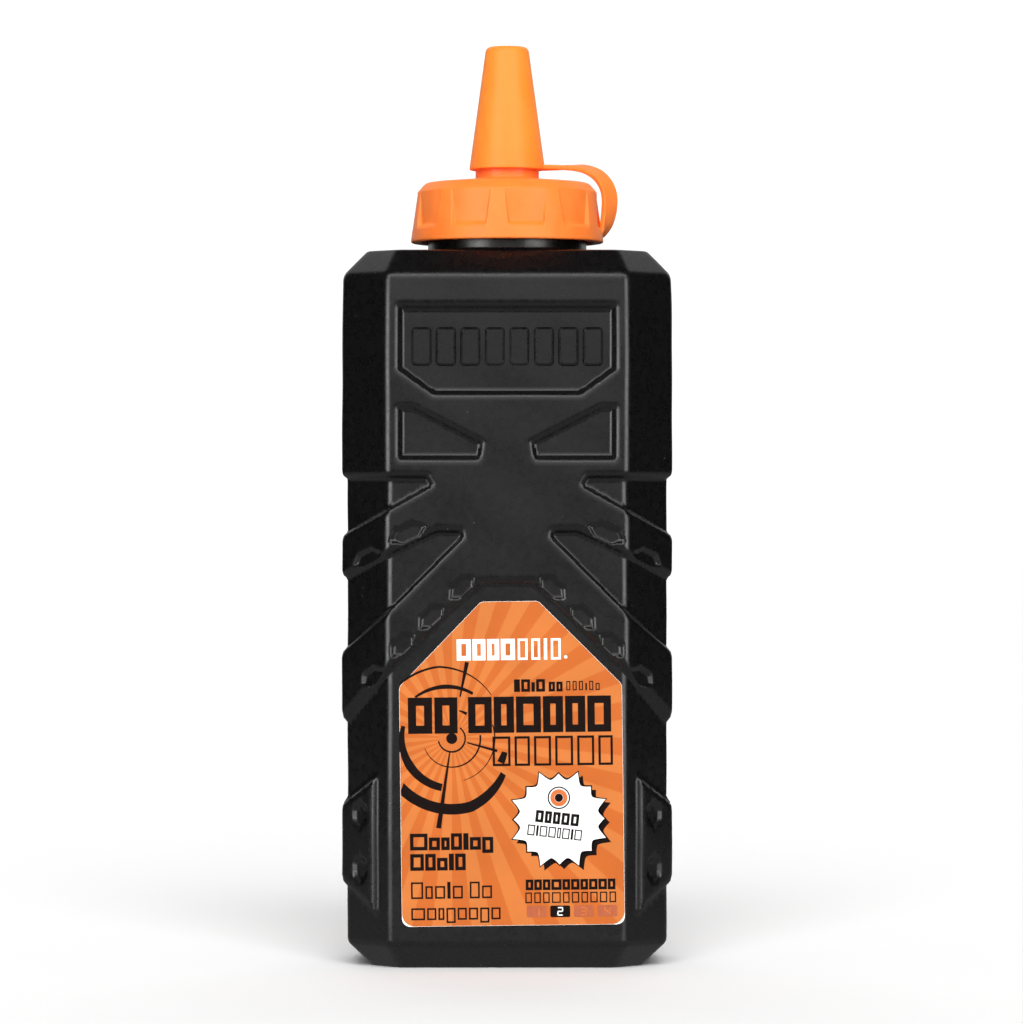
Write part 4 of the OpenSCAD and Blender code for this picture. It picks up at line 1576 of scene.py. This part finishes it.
@dataclass
class Tether:
    """The moulded strap from the tip cap to the closure's rim."""

    paint: Paintbox
    width: float = 5.0
    thick: float = 1.1

    def build(self) -> None:
        """Carries a rounded flat section along the strap's curve, rolling it a little halfway.

        The curve is a chain of cubic pieces through listed points. At each point the section's wide way is
        turned from the depth axis by the roll there.
        """
        way = np.array([[7.9, 0, 175.08], [11.0, 0, 175.1], [14.5, 0, 175.05], [17.4, 0, 174.7],
                        [20.1, 0, 173.35], [21.9, 0, 171.1], [22.6, 0, 168.5], [22.5, 0, 165.6],
                        [22.0, 0, 163.0], [21.3, 0, 161.1], [20.5, 0, 159.9]])
        roll = np.radians([0, 2, 7, 17, 28, 35, 37, 35, 27, 13, 4])
        steps = 120
        t = np.linspace(0, len(way) - 1, steps)
        i = np.clip(t.astype(int), 0, len(way) - 2)
        f = (t - i)[:, None]
        pad = np.vstack([2 * way[0] - way[1], way, 2 * way[-1] - way[-2]])
        p0, p1, p2, p3 = pad[i], pad[i + 1], pad[i + 2], pad[i + 3]
        square, cube = 2 * p0 - 5 * p1 + 4 * p2 - p3, 3 * p1 - p0 - 3 * p2 + p3
        line = 0.5 * (2 * p1 + (p2 - p0) * f + square * f ** 2 + cube * f ** 3)
        turn = np.interp(t, np.arange(len(way)), roll)[:, None]
        along = np.gradient(line, axis=0)
        along /= np.linalg.norm(along, axis=1, keepdims=True)
        deep = np.array([[0.0, 1.0, 0.0]])
        up = np.cross(along, deep)
        wide = deep * np.cos(turn) + up * np.sin(turn)
        thin = np.cross(along, wide)
        w, h = self.width / 2, self.thick / 2
        section = fillet_path([(-w, -h), (w, -h), (w, h), (-w, h)], [0.32] * 4, closed=True, arc=4, step=0.6)
        grid = line[:, None] + section[None, :, 0:1] * wide[:, None] + section[None, :, 1:2] * thin[:, None]
        thing = grid_object("tether_strap_band", grid, start_pole=True, end_pole=True)
        self.paint.coat(thing, Tone.STRAP)
        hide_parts("tether_strap")
        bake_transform(thing)


@dataclass
class Internals:
    """CAD pieces that keep their shape and take a better finish."""

    paint: Paintbox
    nodes: dict[str, bpy.types.Object]

    def build(self) -> None:
        """Paints the powder, the foil seal and the liner."""
        finishes = {"chalk_fill": Tone.POWDER, "foil_seal": Tone.FOIL, "closure_liner": Tone.FOAM}
        for node, tone in finishes.items():
            self.paint.coat(self.nodes[node], tone)
            LOG.info("%s: kept, with the finish %s", node, tone.value.name)


# ---------------------------------------------------------------- studio


@dataclass(frozen=True)
class Card:
    """A flat card that only shiny reflections see."""

    name: str
    place: tuple[float, float, float]
    size: tuple[float, float]
    strength: float
    soft: bool = False

    def build(self) -> None:
        """Makes the card, facing the object's middle. A soft card fades to its edges as 1 - (2u)^2."""
        w, h = self.size
        card = rectangle(self.name, w, h)
        middle = 0.1
        aim = Vector((-self.place[0], -self.place[1], middle - self.place[2]))
        card.rotation_euler = aim.to_track_quat("Z", "Y").to_euler()
        card.location = self.place
        made = bpy.data.materials.new(self.name)
        made.use_nodes = True
        made.node_tree.nodes.clear()
        wiring = Wiring(made.node_tree)
        strength = self.strength
        if self.soft:
            place = wiring.node("ShaderNodeTexCoord").outputs["Object"]
            axes = wiring.node("ShaderNodeSeparateXYZ", {0: place}).outputs
            for axis, length in ((axes[0], w), (axes[1], h)):
                share = wiring.math("MULTIPLY", axis, 2 / length)
                fall = wiring.math("SUBTRACT", 1.0, wiring.math("MULTIPLY", share, share))
                strength = wiring.math("MULTIPLY", strength, fall)
        glow = wiring.node("ShaderNodeEmission", {"Color": (1, 1, 1, 1), "Strength": strength})
        wiring.node("ShaderNodeOutputMaterial", {"Surface": glow.outputs[0]})
        card.data.materials.append(made)
        card.visible_camera = card.visible_diffuse = card.visible_transmission = False
        card.visible_shadow = card.visible_volume_scatter = False


class Studio:
    """Floor, world, lights, reflection cards and camera."""

    cards = (
        Card("card_front", (0, -2.2, 0.75), (2.0, 1.9), 0.68, True),
        Card("card_left", (-1.35, -1.55, 0.1), (1.45, 1.2), 4.6, True),
        Card("card_right", (1.35, -1.55, 0.1), (1.45, 1.2), 3.8, True),
        Card("card_high_left", (-1.15, -1.6, 1.2), (1.1, 1.1), 3.6, True),
        Card("card_high_right", (1.15, -1.6, 1.2), (1.1, 1.1), 3.0, True),
        Card("card_above", (0, -1.75, 1.45), (1.9, 0.7), 2.1),
        Card("card_back", (0, 1.6, 1.1), (4.0, 2.2), 0.55),
        Card("card_floor", (0, 0, -0.002), (0.8, 0.8), 0.22),
    )

    def floor(self) -> None:
        """A wide pale floor that reflections don't see."""
        plane = rectangle("floor", 18, 18)
        made, wiring, shader = blank_material("floor_paper")
        wiring.feed(shader, {"Base Color": (0.83, 0.83, 0.83, 1), "Roughness": 0.9,
                             "Specular IOR Level": 0.0})
        plane.data.materials.append(made)
        plane.visible_glossy = False

    def world(self) -> None:
        """White surroundings that light the object evenly but are dark in its reflections."""
        world = bpy.data.worlds.new("white_room")
        bpy.context.scene.world = world
        world.use_nodes = True
        w = Wiring(world.node_tree)
        ray = w.node("ShaderNodeLightPath").outputs
        light, camera_extra, glossy_less = 0.3, 0.78, 0.29
        strength = w.math("ADD", light, w.math("MULTIPLY", ray["Is Camera Ray"], camera_extra))
        strength = w.math("SUBTRACT", strength, w.math("MULTIPLY", ray["Is Glossy Ray"], glossy_less))
        w.feed(world.node_tree.nodes["Background"], {0: (1, 1, 1, 1), 1: strength})

    def sun(self, name: str, energy: float, width: float, height: float, turn: float) -> None:
        """Even soft light from one direction, which leaves reflections to the cards.

        Args:
            name: Name of the light.
            energy: Strength.
            width: Angle the light spans, in degrees.
            height: Angle above the floor, in degrees.
            turn: Angle round from the front, in degrees.
        """
        lamp = bpy.data.lights.new(name, "SUN")
        lamp.energy, lamp.angle = energy, math.radians(width)
        thing = linked(name, lamp)
        thing.rotation_euler = (math.radians(90 - height), 0, math.radians(turn))
        thing.visible_glossy = False

    def camera(self) -> None:
        """A long lens, level with the middle of the bottle."""
        eye = bpy.data.cameras.new("camera")
        eye.lens, eye.sensor_width = 175, 36
        thing = linked("camera", eye)
        thing.location = (0.00095, -1.10, 0.099)
        thing.rotation_euler = (math.pi / 2, 0, 0)
        bpy.context.scene.camera = thing

    def build(self) -> None:
        """Sets up the whole studio."""
        bpy.context.scene.view_settings.view_transform = "Standard"
        self.floor()
        self.world()
        self.sun("front_light", 3.8, 45, 35, 2)
        self.sun("back_light", 1.1, 55, 40, 180)
        for card in self.cards:
            card.build()
        self.camera()


def corners(box: tuple) -> list[list[float]]:
    """A box's two corners as plain lists."""
    return [list(map(float, box[0])), list(map(float, box[1]))]


def main() -> None:
    """Builds the object's looks and the studio."""
    logging.basicConfig(level=logging.INFO, format="%(name)s %(message)s")
    for thing in list(bpy.data.objects):
        bpy.data.objects.remove(thing)
    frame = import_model()
    paint = Paintbox()
    Bottle(paint).build()
    Label(paint, "front_label", "front_label", "front_label_stock", flip=False, shift=0.95, turn=0.7).build()
    Label(paint, "back_label", "back_label", "back_label_stock", flip=True).build()
    Closure(paint).build()
    TipCap(paint).build()
    Tether(paint).build()
    Internals(paint, frame["nodes"]).build()
    Studio().build()


if __name__ == "__main__":
    main()
